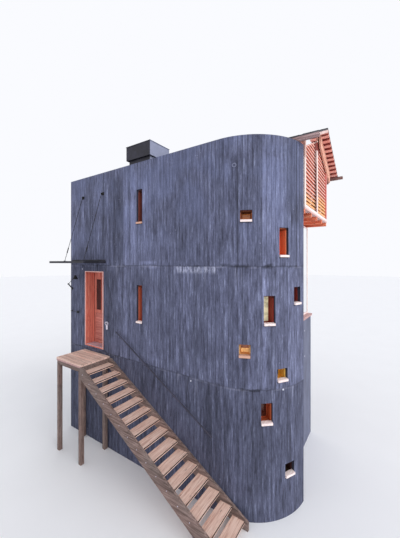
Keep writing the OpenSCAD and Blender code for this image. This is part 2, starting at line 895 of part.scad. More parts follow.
// A lever on a long plate on each face of the leaf
module door_handle() {
    plate_w = 36;
    plate_h = 180;
    plate_t = 8;
    neck = 30;
    lever_l = 125;
    color(dark_metal) translate([handle_x, leaf_y + leaf_t / 2, handle_z])
        for (side = [0, 1]) mirror([0, side, 0]) {
            block(-plate_w / 2, plate_w / 2, leaf_t / 2, leaf_t / 2 + plate_t,
                  -plate_h / 2, plate_h / 2);
            translate([0, leaf_t / 2 + plate_t, 40]) rotate([-90, 0, 0])
                cylinder(d = 18, h = neck, $fn = 32);
            block(-lever_l, 9, leaf_t / 2 + plate_t + neck - 2, leaf_t / 2 + plate_t + neck + 8, 31, 49);
        }
}

canopy_x0 = uphill_x + 35;
canopy_x1 = door_x + door_w + 110;
canopy_z = joint_top + canopy_up;
canopy_plate = 8;

// The canopy is a shallow tray folded from one plate
module canopy() {
    y0 = front_y - canopy_out;
    color(dark_metal) difference() {
        block(canopy_x0, canopy_x1, y0, front_y, canopy_z, canopy_z + canopy_t);
        block(canopy_x0 + canopy_plate, canopy_x1 - canopy_plate, y0 + canopy_plate,
              front_y - canopy_plate, canopy_z + canopy_plate, canopy_z + canopy_t + past);
    }
}

rod_xs = [uphill_x + 710, uphill_x + 1645];
rod_z = joint_top + 2110;
rod_out = 620;

// Two rods from rosettes on the wall to lugs that stand in the tray
module canopy_rods() {
    lug_t = 10;
    lug_l = 60;
    foot_z = canopy_z + canopy_plate;
    color(dark_metal) for (x = rod_xs) {
        low = [x, front_y - rod_out, foot_z + 45];
        high = [x, front_y - 40, rod_z];
        up = (high - low) / norm(high - low);
        rosette(x, rod_z, 80, 12);
        block(x - lug_t / 2, x + lug_t / 2, front_y - lug_l, front_y - 6, rod_z - 22, rod_z + 22);
        block(x - lug_t / 2, x + lug_t / 2, low[1] - lug_l / 2, low[1] + lug_l / 2, foot_z, foot_z + 65);
        bar(low, high, rod_d);
        bar(low + 260 * up, low + 420 * up, 2 * rod_d);
    }
}

landing_x0 = door_x - 30;
landing_edge = door_x + door_w + 283;
landing_w = stair_w - 50;
deck_board_t = 40;
joist_d = 160;
leg_w = 100;
trimmer_w = 60;

module landing_deck() {
    color(pale_larch) block(landing_x0, landing_edge, front_y - landing_w, front_y - eps,
                            landing_z - deck_board_t, landing_z);
}

// Two beams, a trimmer at the head of the stair and four legs down to the lowest ground
module landing_frame() {
    z1 = landing_z - deck_board_t;
    z0 = z1 - joist_d;
    x1 = landing_edge - trimmer_w;
    beam_ys = [front_y - landing_w + 20, front_y - leg_w - 25];
    color(old_timber) {
        block(x1, landing_edge, beam_ys[0], beam_ys[1] + leg_w, z0, z1);
        for (y = beam_ys) {
            block(landing_x0, x1, y, y + leg_w, z0, z1);
            for (x = [landing_x0, x1 - leg_w])
                block(x, x + leg_w, y, y + leg_w, 0, z0);
        }
    }
}

rise = landing_z / risers;
string_t = 50;

module stair_treads() {
    color(pale_larch) for (i = [1 : risers - 1]) {
        x = landing_edge + (i - 1) * going;
        z = landing_z - i * rise;
        block(x, x + going - 15, front_y - stair_w + string_t, front_y - eps - string_t, z - tread_t, z);
    }
}

module stair_strings() {
    drop = 260;
    foot = 60;
    z_top = landing_z - deck_board_t;
    x0 = landing_edge;
    x1 = x0 + (risers - 1) * going;
    color(old_timber) for (y = [front_y - stair_w, front_y - eps - string_t])
        translate([0, y + string_t, 0]) rotate([90, 0, 0]) linear_extrude(string_t)
            polygon([[x0, z_top], [x0 + 100, z_top], [x1 + foot, rise],
                     [x1 + foot, 0], [x1 - 250, 0], [x0, z_top - drop]]);
}

rail_start = 366;
rail_stop = 767;
rail_x0 = landing_edge + rail_start;
rail_x1 = landing_edge + (risers - 1) * going - rail_stop;
rail_d = 34;
rail_off = 70;

// A round rail along the wall, on four bent brackets
module handrail() {
    pitch = rise / going;
    z0 = landing_z - (rail_x0 - landing_edge) * pitch + rail_up;
    z1 = z0 - (rail_x1 - rail_x0) * pitch;
    y = front_y - rail_off;
    brackets = 4;
    inset = 150;
    drop = 70;
    color(dark_metal) {
        bar([rail_x0, y, z0], [rail_x1, y, z1], rail_d);
        for (i = [0 : brackets - 1]) {
            x = rail_x0 + inset + i * (rail_x1 - rail_x0 - 2 * inset) / (brackets - 1);
            z = z0 - (x - rail_x0) * pitch;
            rosette(x, z - drop, 60, 6);
            bar([x, front_y - 3, z - drop], [x, y - 6, z - drop], 12);
            bar([x, y, z - drop - 6], [x, y, z], 12);
        }
    }
}

// An adjustable lamp beside the door: foot, two arms and a hollow shade
module wall_lamp() {
    out = front_y - 140;
    foot = [uphill_x + 91, front_y - 10, joint_low + 1788];
    elbow = [foot[0], out, foot[2] + 153];
    head = [foot[0] + 384, out, foot[2] + 420];
    shade_d = 165;
    neck_d = 62;
    shade_h = 95;
    shade_t = 4;
    color(dark_metal) {
        rosette(foot[0], foot[2], 76, 18);
        bar(foot, elbow, 16);
        bar(elbow - [0, 14, 0], elbow + [0, 14, 0], 34);
        bar(elbow, head, 14);
        translate([head[0], head[1], head[2] - shade_h]) difference() {
            cylinder(d1 = shade_d, d2 = neck_d, h = shade_h, $fn = 48);
            translate([0, 0, -1])
                cylinder(d1 = shade_d - 2 * shade_t, d2 = neck_d - 2 * shade_t,
                         h = shade_h - shade_t, $fn = 48);
        }
        translate(head - [0, 0, shade_t]) cylinder(d = neck_d, h = 30, $fn = 48);
    }
}

// A thin arm along the wall that ends in a round knob
module wall_hook() {
    z = joint_low + 1065;
    x0 = uphill_x + 80;
    x1 = x0 + 400;
    y = front_y - 55;
    color(dark_metal) {
        rosette(x0, z, 50, 8);
        bar([x0, front_y - 4, z], [x0, y - 6, z], 12);
        bar([x0, y, z], [x1, y, z], 12);
        translate([x1, y, z]) sphere(d = 64, $fn = 48);
    }
}

// An entrance station: a ring over a rounded plate
module bell_box() {
    x = door_x + door_w + 170;
    z = joint_low + 864;
    plate_w = 64;
    plate_h = 150;
    plate_t = 16;
    ring_d = 108;
    color(grey_metal) {
        block(x - plate_w / 2, x + plate_w / 2, front_y - plate_t, front_y, z - plate_h, z);
        rosette(x, z - plate_h, plate_w, plate_t);
        translate([x, front_y, z]) rotate([90, 0, 0]) difference() {
            cylinder(d = ring_d, h = 30, $fn = 48);
            translate([0, 0, plate_t]) cylinder(d = 56, h = 30, $fn = 48);
        }
    }
}

base_slab();
wall_low_front();
wall_low_corner_a();
wall_low_corner_b();
wall_mid_uphill();
wall_mid_lintel();
wall_mid_front();
wall_mid_corner_a();
wall_mid_corner_b();
wall_mid_corner_c();
wall_top_front();
wall_top_corner_a();
wall_top_corner_b();
uphill_wall();
far_wall();
uphill_floors();
valley_floor();
valley_base();
valley_ledge();
valley_frame();
valley_glass();
loggia_floor();
loggia_joists();
loggia_posts();
loggia_rails();
loggia_screen_near();
loggia_screen_far();
loggia_side();
flat_roof();
roof_plates();
gable_infill();
gable_board();
gable_glass();
rafters();
barge_rafter();
battens();
roof_deck_near();
roof_deck_far();
ridge_cap();
eave_fascia();
eave_gutters();
vent_box();
window_linings();
window_sills();
window_glass();
door_frame();
door_hinges();
door_leaf();
door_light();
door_handle();
canopy();
canopy_rods();
landing_deck();
landing_frame();
stair_treads();
stair_strings();
handrail();
wall_lamp();
wall_hook();
bell_box();
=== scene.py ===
# %% [markdown]
# # A concrete and larch alpine chalet
# A tall, narrow mountain house. Its shell is dark concrete poured between upright boards, and it
# wraps round a timber house that shows at the windows, the door and the gabled loggia. The
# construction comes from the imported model. This notebook adds what is seen from close by: the
# print of the boards in the concrete, the grain of the larch, beads, bolts, seams and glass.

# %% Load the construction
import math

import bpy
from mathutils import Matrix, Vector


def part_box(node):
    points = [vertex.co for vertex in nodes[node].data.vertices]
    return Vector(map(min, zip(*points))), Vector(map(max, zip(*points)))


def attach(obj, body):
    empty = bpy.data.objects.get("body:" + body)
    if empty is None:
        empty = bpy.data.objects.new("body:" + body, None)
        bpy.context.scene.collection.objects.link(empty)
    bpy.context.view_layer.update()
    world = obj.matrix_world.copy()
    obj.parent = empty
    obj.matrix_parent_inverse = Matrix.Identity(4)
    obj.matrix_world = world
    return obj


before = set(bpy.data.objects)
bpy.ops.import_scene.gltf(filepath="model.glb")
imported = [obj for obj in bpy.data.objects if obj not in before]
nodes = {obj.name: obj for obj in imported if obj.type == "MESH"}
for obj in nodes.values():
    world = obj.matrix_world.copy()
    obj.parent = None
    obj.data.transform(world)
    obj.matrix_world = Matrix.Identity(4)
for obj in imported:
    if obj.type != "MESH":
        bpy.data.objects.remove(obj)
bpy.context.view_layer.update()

# %% [markdown]
# ## The camera
# The camera stands level with the middle of the house, 5.4 m above its lowest point, and looks at
# the flat wall from the side of the valley. A wide lens on a level camera keeps the walls upright,
# which a tall house needs. The place was worked out from the edges of the walls.

# %% Camera
sensor, picture_h, focal_px, horizon_px = 36, 538, 275, 262.64
eye = Vector((5.053, -7.164, 5.36))
turn = math.radians(34.07)
aim = Vector((-math.sin(turn), math.cos(turn), 0.0))
camera = bpy.data.objects.new("camera", bpy.data.cameras.new("camera"))
bpy.context.scene.collection.objects.link(camera)
camera.location = eye
camera.rotation_euler = aim.to_track_quat("-Z", "Y").to_euler()
camera.data.sensor_width = sensor
camera.data.lens = sensor * focal_px / picture_h
camera.data.shift_y = (horizon_px - picture_h / 2) / picture_h
bpy.context.scene.camera = camera
bpy.context.scene.view_settings.view_transform = "Standard"
print("lens", round(camera.data.lens, 2), "mm")

# %% [markdown]
# ## Wiring a material
# A material is a net of small nodes, and a long net is hard to read. A Wire holds the output of
# a node, and adding or multiplying Wires adds the Math nodes that do it. So a pattern reads as a
# formula, such as `1 - groove * 0.3`. Every other node is made by the one function `node`.

# %% Wires and nodes
def put(socket, value):
    """Feeds a socket from a wire, or sets it to a plain value."""
    if isinstance(value, Wire):
        socket.id_data.links.new(value.socket, socket)
    elif socket.type == "VECTOR":
        socket.default_value = value[:3]
    else:
        socket.default_value = value


def node(tree, kind, settings=None, sockets=None, out=0):
    """Adds a node: its settings first, then its sockets; gives the wire of one output."""
    made = tree.nodes.new("ShaderNode" + kind)
    for name, value in (settings or {}).items():
        setattr(made, name, value)
    for name, value in (sockets or {}).items():
        put(made.inputs[name], value)
    return Wire(made.outputs[out])


class Wire:
    """The output of a node, on which arithmetic adds Math nodes."""

    def __init__(self, socket):
        self.socket = socket

    def math(self, operation, *values):
        return node(self.socket.id_data, "Math", {"operation": operation},
                    dict(enumerate(values or (self,))))

    def __gt__(self, other): return self.math("GREATER_THAN", self, other)
    def __lt__(self, other): return self.math("LESS_THAN", self, other)
    def __abs__(self): return self.math("ABSOLUTE", self)
    def floor(self): return self.math("FLOOR", self)

    def ramp(self, start, end, low=0.0, high=1.0):
        """Runs smoothly from low to high while the value goes from start to end."""
        return node(self.socket.id_data, "MapRange", {"interpolation_type": "SMOOTHSTEP"},
                    {"Value": self, "From Min": start, "From Max": end,
                     "To Min": low, "To Max": high})

    def band(self, start, stop, soft):
        """1 between start and stop, 0 outside, with soft edges."""
        return (self.ramp(start - soft, start + soft)
                * self.ramp(stop - soft, stop + soft, 1.0, 0.0))


# + - * / between wires, and with a plain number on either side
for sign, operation in (("add", "ADD"), ("sub", "SUBTRACT"), ("mul", "MULTIPLY"),
                        ("truediv", "DIVIDE")):
    setattr(Wire, f"__{sign}__", lambda a, b, kind=operation: a.math(kind, a, b))
    setattr(Wire, f"__r{sign}__", lambda a, b, kind=operation: a.math(kind, b, a))


def rgb(red, green, blue):
    """A colour as a screen shows it, 0 to 255, in the linear values that a shader takes."""
    parts = [c / 255 for c in (red, green, blue)]
    parts = [c / 12.92 if c <= 0.04045 else ((c + 0.055) / 1.055) ** 2.4 for c in parts]
    return (*parts, 1.0)


print("a mid grey is", [round(c, 3) for c in rgb(128, 128, 128)])

# %% [markdown]
# ## A finish and its patterns
# Every finish here starts from one Principled shader and the place of a point on the object, in
# metres. Because the whole house shares one origin, a board 10 cm wide is 0.1 in the pattern.

# %% The finish helper
class Finish:
    """One material, its shader, and the patterns it is made of."""

    def __init__(self, name, **constants):
        self.material = bpy.data.materials.new(name)
        self.material.use_nodes = True
        self.tree = self.material.node_tree
        self.shader = self.tree.nodes["Principled BSDF"]
        for socket, value in constants.items():
            self.shader.inputs[socket.replace("_", " ")].default_value = value
        self.where = self.add("TexCoord", out=3)    # the place on the object
        self.x, self.y, self.z = self.parts(self.where)

    def add(self, kind, settings=None, sockets=None, out=0):
        return node(self.tree, kind, settings, sockets, out)

    def parts(self, vector):
        return [self.add("SeparateXYZ", None, {"Vector": vector}, i) for i in range(3)]

    def spot(self, x, y, z):
        """A point for a pattern, from three wires or numbers."""
        return self.add("CombineXYZ", None, {"X": x, "Y": y, "Z": z})

    def clouds(self, spot, scale=1.0, detail=3.0, rough=0.5, twist=0.0):
        """Soft random values round 0.5."""
        return self.add("TexNoise", None, {"Vector": spot, "Scale": scale, "Detail": detail,
                                           "Roughness": rough, "Distortion": twist})

    def chance(self, value):
        """One random number, 0 to 1, for each whole value."""
        return self.add("TexWhiteNoise", {"noise_dimensions": "1D"}, {"W": value})

    def cells(self, spot, scale):
        """The distance to the nearest of many scattered points."""
        return self.add("TexVoronoi", None, {"Vector": spot, "Scale": scale})

    def facing(self):
        """The three parts of the direction that a surface faces."""
        return self.parts(self.add("TexCoord", out=1))

    def mix(self, amount, below, above):
        """One colour over another: sockets 0, 6 and 7 are the amount and the two colours."""
        return self.add("Mix", {"data_type": "RGBA"}, {0: amount, 6: below, 7: above}, 2)

    def shade(self, colour, amount):
        """A colour made lighter or darker by a wire round 1."""
        return self.add("VectorMath", {"operation": "SCALE"}, {0: colour, "Scale": amount})

    def wear(self, colour, rough, height=None, deep=0.002, strong=0.5, **links):
        """Joins the patterns to the shader."""
        put(self.shader.inputs["Base Color"], colour)
        put(self.shader.inputs["Roughness"], rough)
        for name, wire in links.items():
            put(self.shader.inputs[name.replace("_", " ")], wire)
        if height is not None:
            bump = self.add("Bump", None, {"Height": height, "Distance": deep, "Strength": strong})
            put(self.shader.inputs["Normal"], bump)
        return self.material


def dress(material, *names):
    """Gives CAD pieces a material in all of their slots, and hands the material on."""
    for name in names:
        slots = nodes[name].data.materials
        if not len(slots):
            slots.append(material)
        for i in range(len(slots)):
            slots[i] = material
    return material


# %% [markdown]
# ## Board-marked concrete
# The shell was poured in three lifts between rough, upright boards about 10 cm wide. Each board
# left its own tone, its grain and a thin fin or groove at its edges, and rain drew streaks down
# from the joints. The pattern needs one number more than x, y and z: the distance along the wall.
# On the flat walls that is x, on faces that look along x it is y, and on the round corner it is
# the arc, which starts where the flat wall ends.

# %% Where the joints and the marks are
lift_low, lift_top, eave_z = 2.73, 5.28, 7.9
corner_x, corner_y, corner_r = 2.055, -0.58, 1.47
board_w = 0.1
# Middle and half the width of what the slots and the door cut out of the flat wall, and how far
# from the middle of the house a point of its concrete lies when it is inside an opening
slots_x, slots_half, door_x, door_half, wall_inner = -0.34, 0.2, -2.29, 0.6, 2.046
# Stretches that stand out: from and to along the wall, from and to in height, and how much
# lighter or darker they are
marks = [
    (-3.5, -3.3, 5.6, 7.6, 0.34), (-2.92, -2.78, 5.9, 7.4, 0.34), (-2.14, -1.96, 5.6, 7.5, 0.24),
    (-1.72, -1.58, 5.7, 7.6, 0.24), (-1.38, -1.0, 5.3, 7.8, -0.34), (-0.92, -0.76, 5.3, 7.7, 0.6),
    (-0.66, -0.48, 5.4, 7.6, 0.5), (-0.22, -0.06, 5.6, 7.5, 0.3), (-1.2, -1.05, 4.2, 5.0, 0.3),
    (-1.66, -1.42, 5.14, 5.25, 0.5), (-1.0, -0.96, 3.6, 5.2, -0.35), (1.0, 1.9, 3.8, 5.1, 0.14),
    (2.46, 2.52, 5.3, 7.4, -0.3), (2.92, 2.99, 5.3, 8.0, -0.26), (3.86, 3.9, 5.4, 8.0, -0.4),
    (3.97, 4.01, 5.4, 8.0, -0.3), (0.36, 0.43, 7.3, 7.75, -0.3), (0.9, 1.3, 5.6, 6.2, -0.12),
    (2.38, 2.8, 6.2, 7.7, -0.14), (2.92, 3.55, 5.9, 7.6, 0.18), (3.7, 3.76, 5.6, 8.0, -0.22),
    (3.8, 4.21, 2.8, 5.0, 0.1), (2.95, 3.15, 4.5, 5.1, 0.2), (2.62, 2.7, 2.8, 4.6, -0.24),
    (3.02, 3.14, 2.8, 5.0, 0.16), (-1.75, -1.2, 3.2, 5.2, -0.16), (2.13, 2.2, 0.8, 2.5, 0.42),
    (1.72, 2.05, 0.8, 2.6, -0.16), (1.62, 1.67, 1.4, 2.6, 0.3), (2.36, 2.45, 0.5, 2.7, 0.22),
    (0.88, 1.0, 2.9, 5.0, 0.12), (-0.2, 0.1, 3.0, 4.6, 0.08), (-0.3, 0.25, 5.32, 5.4, 0.45),
    (3.42, 3.48, 5.1, 5.22, 0.6), (3.08, 3.32, 4.85, 5.0, 0.25), (3.1, 3.24, 5.24, 5.33, -0.4),
    (2.4, 2.76, 5.25, 5.32, -0.45), (0.0, 0.25, 5.2, 5.26, 0.35), (1.1, 1.16, 2.0, 2.6, 0.5),
    (-2.25, -0.94, 5.3, 7.2, -0.14), (-0.5, 0.5, 3.4, 5.1, -0.12), (1.42, 1.78, 3.4, 6.6, -0.14),
    (1.86, 2.04, 5.5, 7.0, 0.2), (2.42, 2.54, 3.4, 5.1, 0.2), (2.1, 2.3, 0.5, 2.4, -0.2),
    (2.76, 3.24, 0.6, 2.5, -0.16), (3.58, 3.68, 0.6, 2.6, -0.2), (3.0, 3.08, 5.6, 7.8, 0.16)]


# %% Concrete poured between boards
def corner_angle(f):
    """The angle round the corner, in radians from the end of the flat wall."""
    return f.x.math("ARCTAN2", f.x - corner_x, corner_y - f.y)


def board_marked(name, run):
    """run: flat for walls along x, round for the corner, side for walls along y."""
    f = Finish(name, Specular_IOR_Level=0.3)
    if run == "round":
        out_x, out_y = f.x - corner_x, corner_y - f.y
        radius = (out_x * out_x + out_y * out_y).math("SQRT")
        along = corner_x + corner_angle(f) * corner_r + (radius - corner_r)
    else:
        faces_x = abs(f.facing()[0]) > 0.7
        along = f.x + (f.y - f.x) * faces_x
    level = (f.z > lift_low) + (f.z > lift_top)
    board = (along / board_w).floor()
    within = along / board_w - board
    tone = f.chance(board + level * 57.3)
    wide_tone = f.chance((along / (4 * board_w) + 0.3).floor() + level * 13.7)
    groove = (0.5 - abs(within - 0.5)).ramp(0.0, 0.13, 1.0, 0.0)
    groove = groove * (0.4 + f.chance(board + level * 31.1) * 0.9)
    streaks = f.clouds(f.spot(along * 15.0, level * 5.0 + board * 1.3, f.z * 2.0), 1.0, 7.0, 0.78)
    fine = f.clouds(f.spot(along * 80.0, board * 3.1, f.z * 9.0), 1.0, 5.0, 0.8)
    grit = f.clouds(f.spot(along * 26.0, level, f.z * 20.0), 1.0, 6.0, 0.8)
    drift = f.clouds(f.spot(along * 0.9, level * 3.3, f.z * 0.8), 1.0, 5.0, 0.6)
    knots = f.clouds(f.spot(along * 24.0, board * 1.7, f.z * 5.0), 1.0, 3.0, 0.7)
    dark, middle, light = rgb(61, 63, 82), rgb(97, 101, 127), rgb(149, 156, 188)
    colour = f.mix(streaks.ramp(0.34, 0.54), dark, middle)
    colour = f.mix(streaks.ramp(0.52, 0.7) * 0.8, colour, light)
    blue = f.z.ramp(4.6, 7.4) * drift.ramp(0.42, 0.62) * 0.4
    colour = f.mix(blue, colour, rgb(106, 114, 148))
    value = tone * 0.28 + wide_tone * 0.14 + fine * 0.78 + grit * 0.82
    value = value * (1.0 - groove * 0.36) * (0.8 + drift * 0.44)
    # The lowest lift is darker. The wall round the door gets painted shade from the canopy, and so
    # does the end of the corner under the eave. Inside an opening the concrete gets painted shade.
    value = value * f.z.ramp(lift_low - 0.02, lift_low + 0.02, 0.74, 1.0)
    if run == "flat":
        # Painted shade of the canopy on the wall round the door
        by_the_door = f.x.ramp(-1.6, -1.0, 1.0, 0.0) * f.z.ramp(5.2, 5.3, 1.0, 0.0)
        value = value * (1.0 - by_the_door * 0.22)
        by_an_opening = (abs(f.x - slots_x) < slots_half) + (abs(f.x - door_x) < door_half)
        sunk = (abs(f.y) < wall_inner) * (by_an_opening > 0.5) * (f.z < eave_z)
        value = value * (1.0 - sunk * 0.62)
    elif run == "round":
        # Painted shade of the eave on the end of the corner
        value = value * (1.0 - along.ramp(3.3, 3.8) * f.z.ramp(6.0, 6.8) * 0.2)
        sunk = (radius < corner_r - 0.004) * (f.z < eave_z)
        value = value * (1.0 - sunk * 0.62)
    value = value * (1.0 - knots.ramp(0.64, 0.78) * 0.36) * (1.0 + knots.ramp(0.36, 0.24) * 0.3)
    # Marks of the real walls, with ragged edges
    ragged = (f.clouds(f.spot(along * 30.0, 0.0, f.z * 1.5), 1.0, 3.0) - 0.5) * 0.16
    if run != "side":
        for start, stop, foot, top, amount in marks:
            soft, fade = min(0.05, (stop - start) * 0.4), min(0.2, (top - foot) * 0.4)
            across = (along + ragged * 0.3).band(start, stop, soft)
            upright = (f.z + ragged * fade * 15.0).band(foot, top, fade)
            value = value * (1.0 + across * upright * amount)
    # The joints between the lifts: a dark broken line, with a pale wash below it
    for joint in (lift_low, lift_top):
        away = f.z - joint + (f.clouds(f.spot(along * 3.0, 0.0, 0.0), 1.0, 4.0) - 0.5) * 0.03
        broken = f.clouds(f.spot(along * 1.6, joint, 0.0), 1.0, 2.0).ramp(0.36, 0.6, 0.25, 1.0)
        line = abs(away).ramp(0.008, 0.026, 1.0, 0.0)
        blot = f.clouds(f.spot(along * 5.0, joint, f.z * 8.0), 1.0, 3.0).ramp(0.56, 0.66)
        blot = abs(away).ramp(0.02, 0.08, 1.0, 0.0) * blot
        value = value * (1.0 - line * broken * 0.34) * (1.0 - blot * 0.5)
        wash = away.ramp(-0.5, -0.03, 0.0, 1.0) * (away < 0.0)
        drips = f.clouds(f.spot(along * 11.0, joint, f.z * 0.7), 1.0, 4.0).ramp(0.56, 0.74)
        colour = f.mix(wash * drips * 0.45, colour, rgb(172, 176, 204))
        lime = abs(away + 0.02).ramp(0.01, 0.03, 1.0, 0.0) * (1.0 - broken) * 0.3
        colour = f.mix(lime, colour, rgb(176, 178, 204))
    # Lime has run out of the upper joint along one stretch of the flat wall
    if run == "flat":
        run_out = along.band(0.9, 2.1, 0.1) * f.z.ramp(5.08, 5.2)
        run_out = run_out * f.z.ramp(5.26, lift_top, 1.0, 0.0)
        spatter = f.clouds(f.spot(along * 14.0, 2.0, f.z * 5.0), 1.0, 5.0, 0.7).ramp(0.42, 0.58)
        colour = f.mix(run_out * spatter * (f.y < 0.0) * 0.75, colour, rgb(190, 194, 220))
    # Small pale flecks of lime and dark pores
    flecks = f.cells(f.spot(along, 0.0, f.z), 9.0).ramp(0.06, 0.11, 1.0, 0.0)
    rare = f.clouds(f.spot(along * 2.0, 4.0, f.z * 2.0), 1.0, 2.0).ramp(0.55, 0.66)
    colour = f.mix(flecks * rare * 0.6, f.shade(colour, value), rgb(176, 180, 210))
    pores = f.cells(f.spot(along, 3.0, f.z), 16.0).ramp(0.05, 0.12, 1.0, 0.0)
    colour = f.shade(colour, 1.0 - pores * rare * 0.5)
    height = fine * 0.35 + tone * 0.5 - groove * 0.9 + streaks * 0.25 - pores * rare
    return f.wear(colour, 0.72 + fine * 0.2, height, 0.005, 0.8)


dress(board_marked("board_marked_flat", "flat"), "wall_low_front", "wall_mid_uphill",
      "wall_mid_lintel", "wall_mid_front", "wall_top_front", "far_wall")
dress(board_marked("board_marked_round", "round"), *[n for n in nodes if "_corner_" in n])
dress(board_marked("board_marked_side", "side"), "uphill_wall")
print("concrete for flat walls, the corner and the sides, with", len(marks), "marks")

# %% [markdown]
# ## Plain concrete
# The base wall under the valley windows and the floors were poured against smooth panels, so
# they are paler and even, with a few pores and soft clouds.

# %% Smooth concrete
f = Finish("smooth_concrete")
clouds = f.clouds(f.spot(f.x * 3.0, f.y * 3.0, f.z * 1.2), 1.0, 7.0, 0.7)
pores = f.cells(f.where, 34.0).ramp(0.05, 0.14, 1.0, 0.0)
colour = f.mix(clouds.ramp(0.35, 0.65), rgb(90, 94, 115), rgb(108, 112, 135))
smooth_concrete = f.wear(f.shade(colour, 1.0 - pores * 0.35), 0.7 + clouds * 0.2,
                         clouds * 0.4 - pores, 0.003, 0.5)
dress(smooth_concrete, "base_slab", "uphill_floors", "valley_floor", "valley_base")

# %% [markdown]
# ## Larch, new and weathered
# The boards are larch. Grain is noise drawn out along the board, so each direction in which
# boards run needs its own version. A board is picked by rounding the place across it, and gets
# its own tone from a random number, and a dark line where it meets the next one. Some woods get
# a second coat, a small function that tints places where the real wood is bleached or differs in
# tone, and paints light and shade where they fall on the wood.

# %% Timber
def timber(name, run, tones, pitch=None, across=None, rough=0.55, grey=0.0, patches=0.0, seam=0.0,
           coat=None, upright=None):
    """run is the axis of the grain, tones are its dark, middle and light colour, and across is
    the axis on which boards are counted, pitch apart. Below the height upright, grain along x
    stands up instead, as on the legs of the landing."""
    f = Finish(name, Specular_IOR_Level=0.35)
    axes = {"x": f.x, "y": f.y, "z": f.z}
    if upright:
        standing = f.z < upright
        axes["x"], axes["z"] = f.x + (f.z - f.x) * standing, f.z + (f.x - f.z) * standing
    stretch = {a: (2.2 if a == run else 34.0) for a in axes}
    grain = f.clouds(f.spot(*[axes[a] * stretch[a] for a in "xyz"]), 1.0, 5.0, 0.62, 0.6)
    fibre = f.clouds(f.spot(*[axes[a] * stretch[a] * 5.0 for a in "xyz"]), 1.0, 3.0, 0.6)
    drift = f.clouds(f.where, 1.6, 4.0, 0.55)
    knots = f.cells(f.spot(*[axes[a] * (3.0 if a == run else 9.0) for a in "xyz"]), 1.0)
    knots = knots.ramp(0.06, 0.14, 1.0, 0.0)
    dark, middle, light = [rgb(*tone) for tone in tones]
    colour = f.mix(grain.ramp(0.34, 0.54), dark, middle)
    colour = f.mix(grain.ramp(0.52, 0.74), colour, light)
    value = 0.84 + fibre * 0.2 + drift * 0.14
    value = value * (1.0 - knots * 0.4)
    height = grain * 0.5 + fibre * 0.5 - knots * 0.5
    if pitch:
        place = axes[across] / pitch
        tone = f.chance(place.floor())
        value = value * (0.85 + tone * 0.3)
        if seam:
            gap = (0.5 - abs(place - place.floor() - 0.5)).ramp(0.0, seam / pitch, 1.0, 0.0)
            value = value * (1.0 - gap * 0.75)
            height = height - gap * 2.0
    if grey:
        colour = f.mix(drift.ramp(0.42, 0.66) * grey, colour, rgb(120, 112, 108))
    if patches:
        spots = f.clouds(f.where, 9.0, 5.0, 0.65).ramp(0.52, 0.7)
        colour = f.mix(spots * patches, colour, rgb(60, 46, 42))
    colour = f.shade(colour, value)
    if coat:
        colour = coat(f, colour)
    return f.wear(colour, rough + fibre * 0.2, height, 0.0015, 0.5)


# %% Second coats and painted light: slats, battens, eave, sills and posts
slat_pitch, slat_low = 0.096, 6.69


def warm_foot(f, colour):
    """The foot of each slat is bleached, and the lowest slats catch warm light from the room."""
    part = (f.z - slat_low) / slat_pitch
    foot = (part - part.floor() < 0.66) * (f.facing()[2] > -0.5)
    colour = f.mix(foot * 0.75, colour, rgb(255, 232, 222))
    height = f.z + (f.clouds(f.where, 5.0, 2.0) - 0.5) * 0.3 - (f.y > 0.8) * 0.22
    colour = f.mix(height.ramp(6.8, 7.15, 1.0, 0.0) * 0.55, colour, rgb(255, 190, 96))
    # The ends beside the middle post lie in its shade
    return f.shade(colour, 1.0 - f.y.ramp(0.38, 0.46) * (f.y < 0.76) * 0.62)


def bleach_and_painted_shade(f, colour):
    """The near battens are bleached almost white; far ones get dark red painted shade on the ridge
    side.
    """
    colour = f.mix(f.y.ramp(0.8, 0.9, 0.8, 0.0), colour, rgb(250, 232, 226))
    # Painted shade on the sides of the far slope's battens that face the ridge
    shaded = (f.facing()[1] < -0.5) * (f.y > 0.9)
    return f.mix(shaded * 0.85, colour, rgb(140, 40, 34))


def far_eave(f, colour):
    """The wood of the far eave is browner."""
    return f.mix((f.y > 1.0) * 0.7, colour, rgb(128, 92, 84))


def sill_tones(f, colour):
    """The loggia's sill beam gets painted shade on its lower half, and two sills are tinted tan.
    """
    # Painted shade on the lower half of the loggia's sill beam
    beam_foot_shade = (f.x > 3.4) * (f.z > 6.5) * f.z.ramp(6.61, 6.64, 1.0, 0.0)
    colour = f.mix(beam_foot_shade * 0.75, colour, rgb(206, 156, 150))
    sill_mid_a = (f.z > 3.3) * (f.z < 3.5) * (f.x > 2.3) * (f.y < -1.7)
    sill_slot = (f.z > 6.3) * (f.x < 0.0)
    return f.mix((sill_mid_a + sill_slot) * 0.8, colour, rgb(206, 148, 116))


def post_tones(f, colour):
    """The far post is tinted red, and the head of the near one brown."""
    colour = f.mix(f.y.ramp(1.9, 1.94) * (f.z > 6.6) * 0.85, colour, rgb(208, 92, 84))
    near_head = f.y.ramp(-0.62, -0.6, 1.0, 0.0) * f.z.ramp(7.7, 7.8)
    return f.mix(near_head * 0.6, colour, rgb(176, 112, 92))


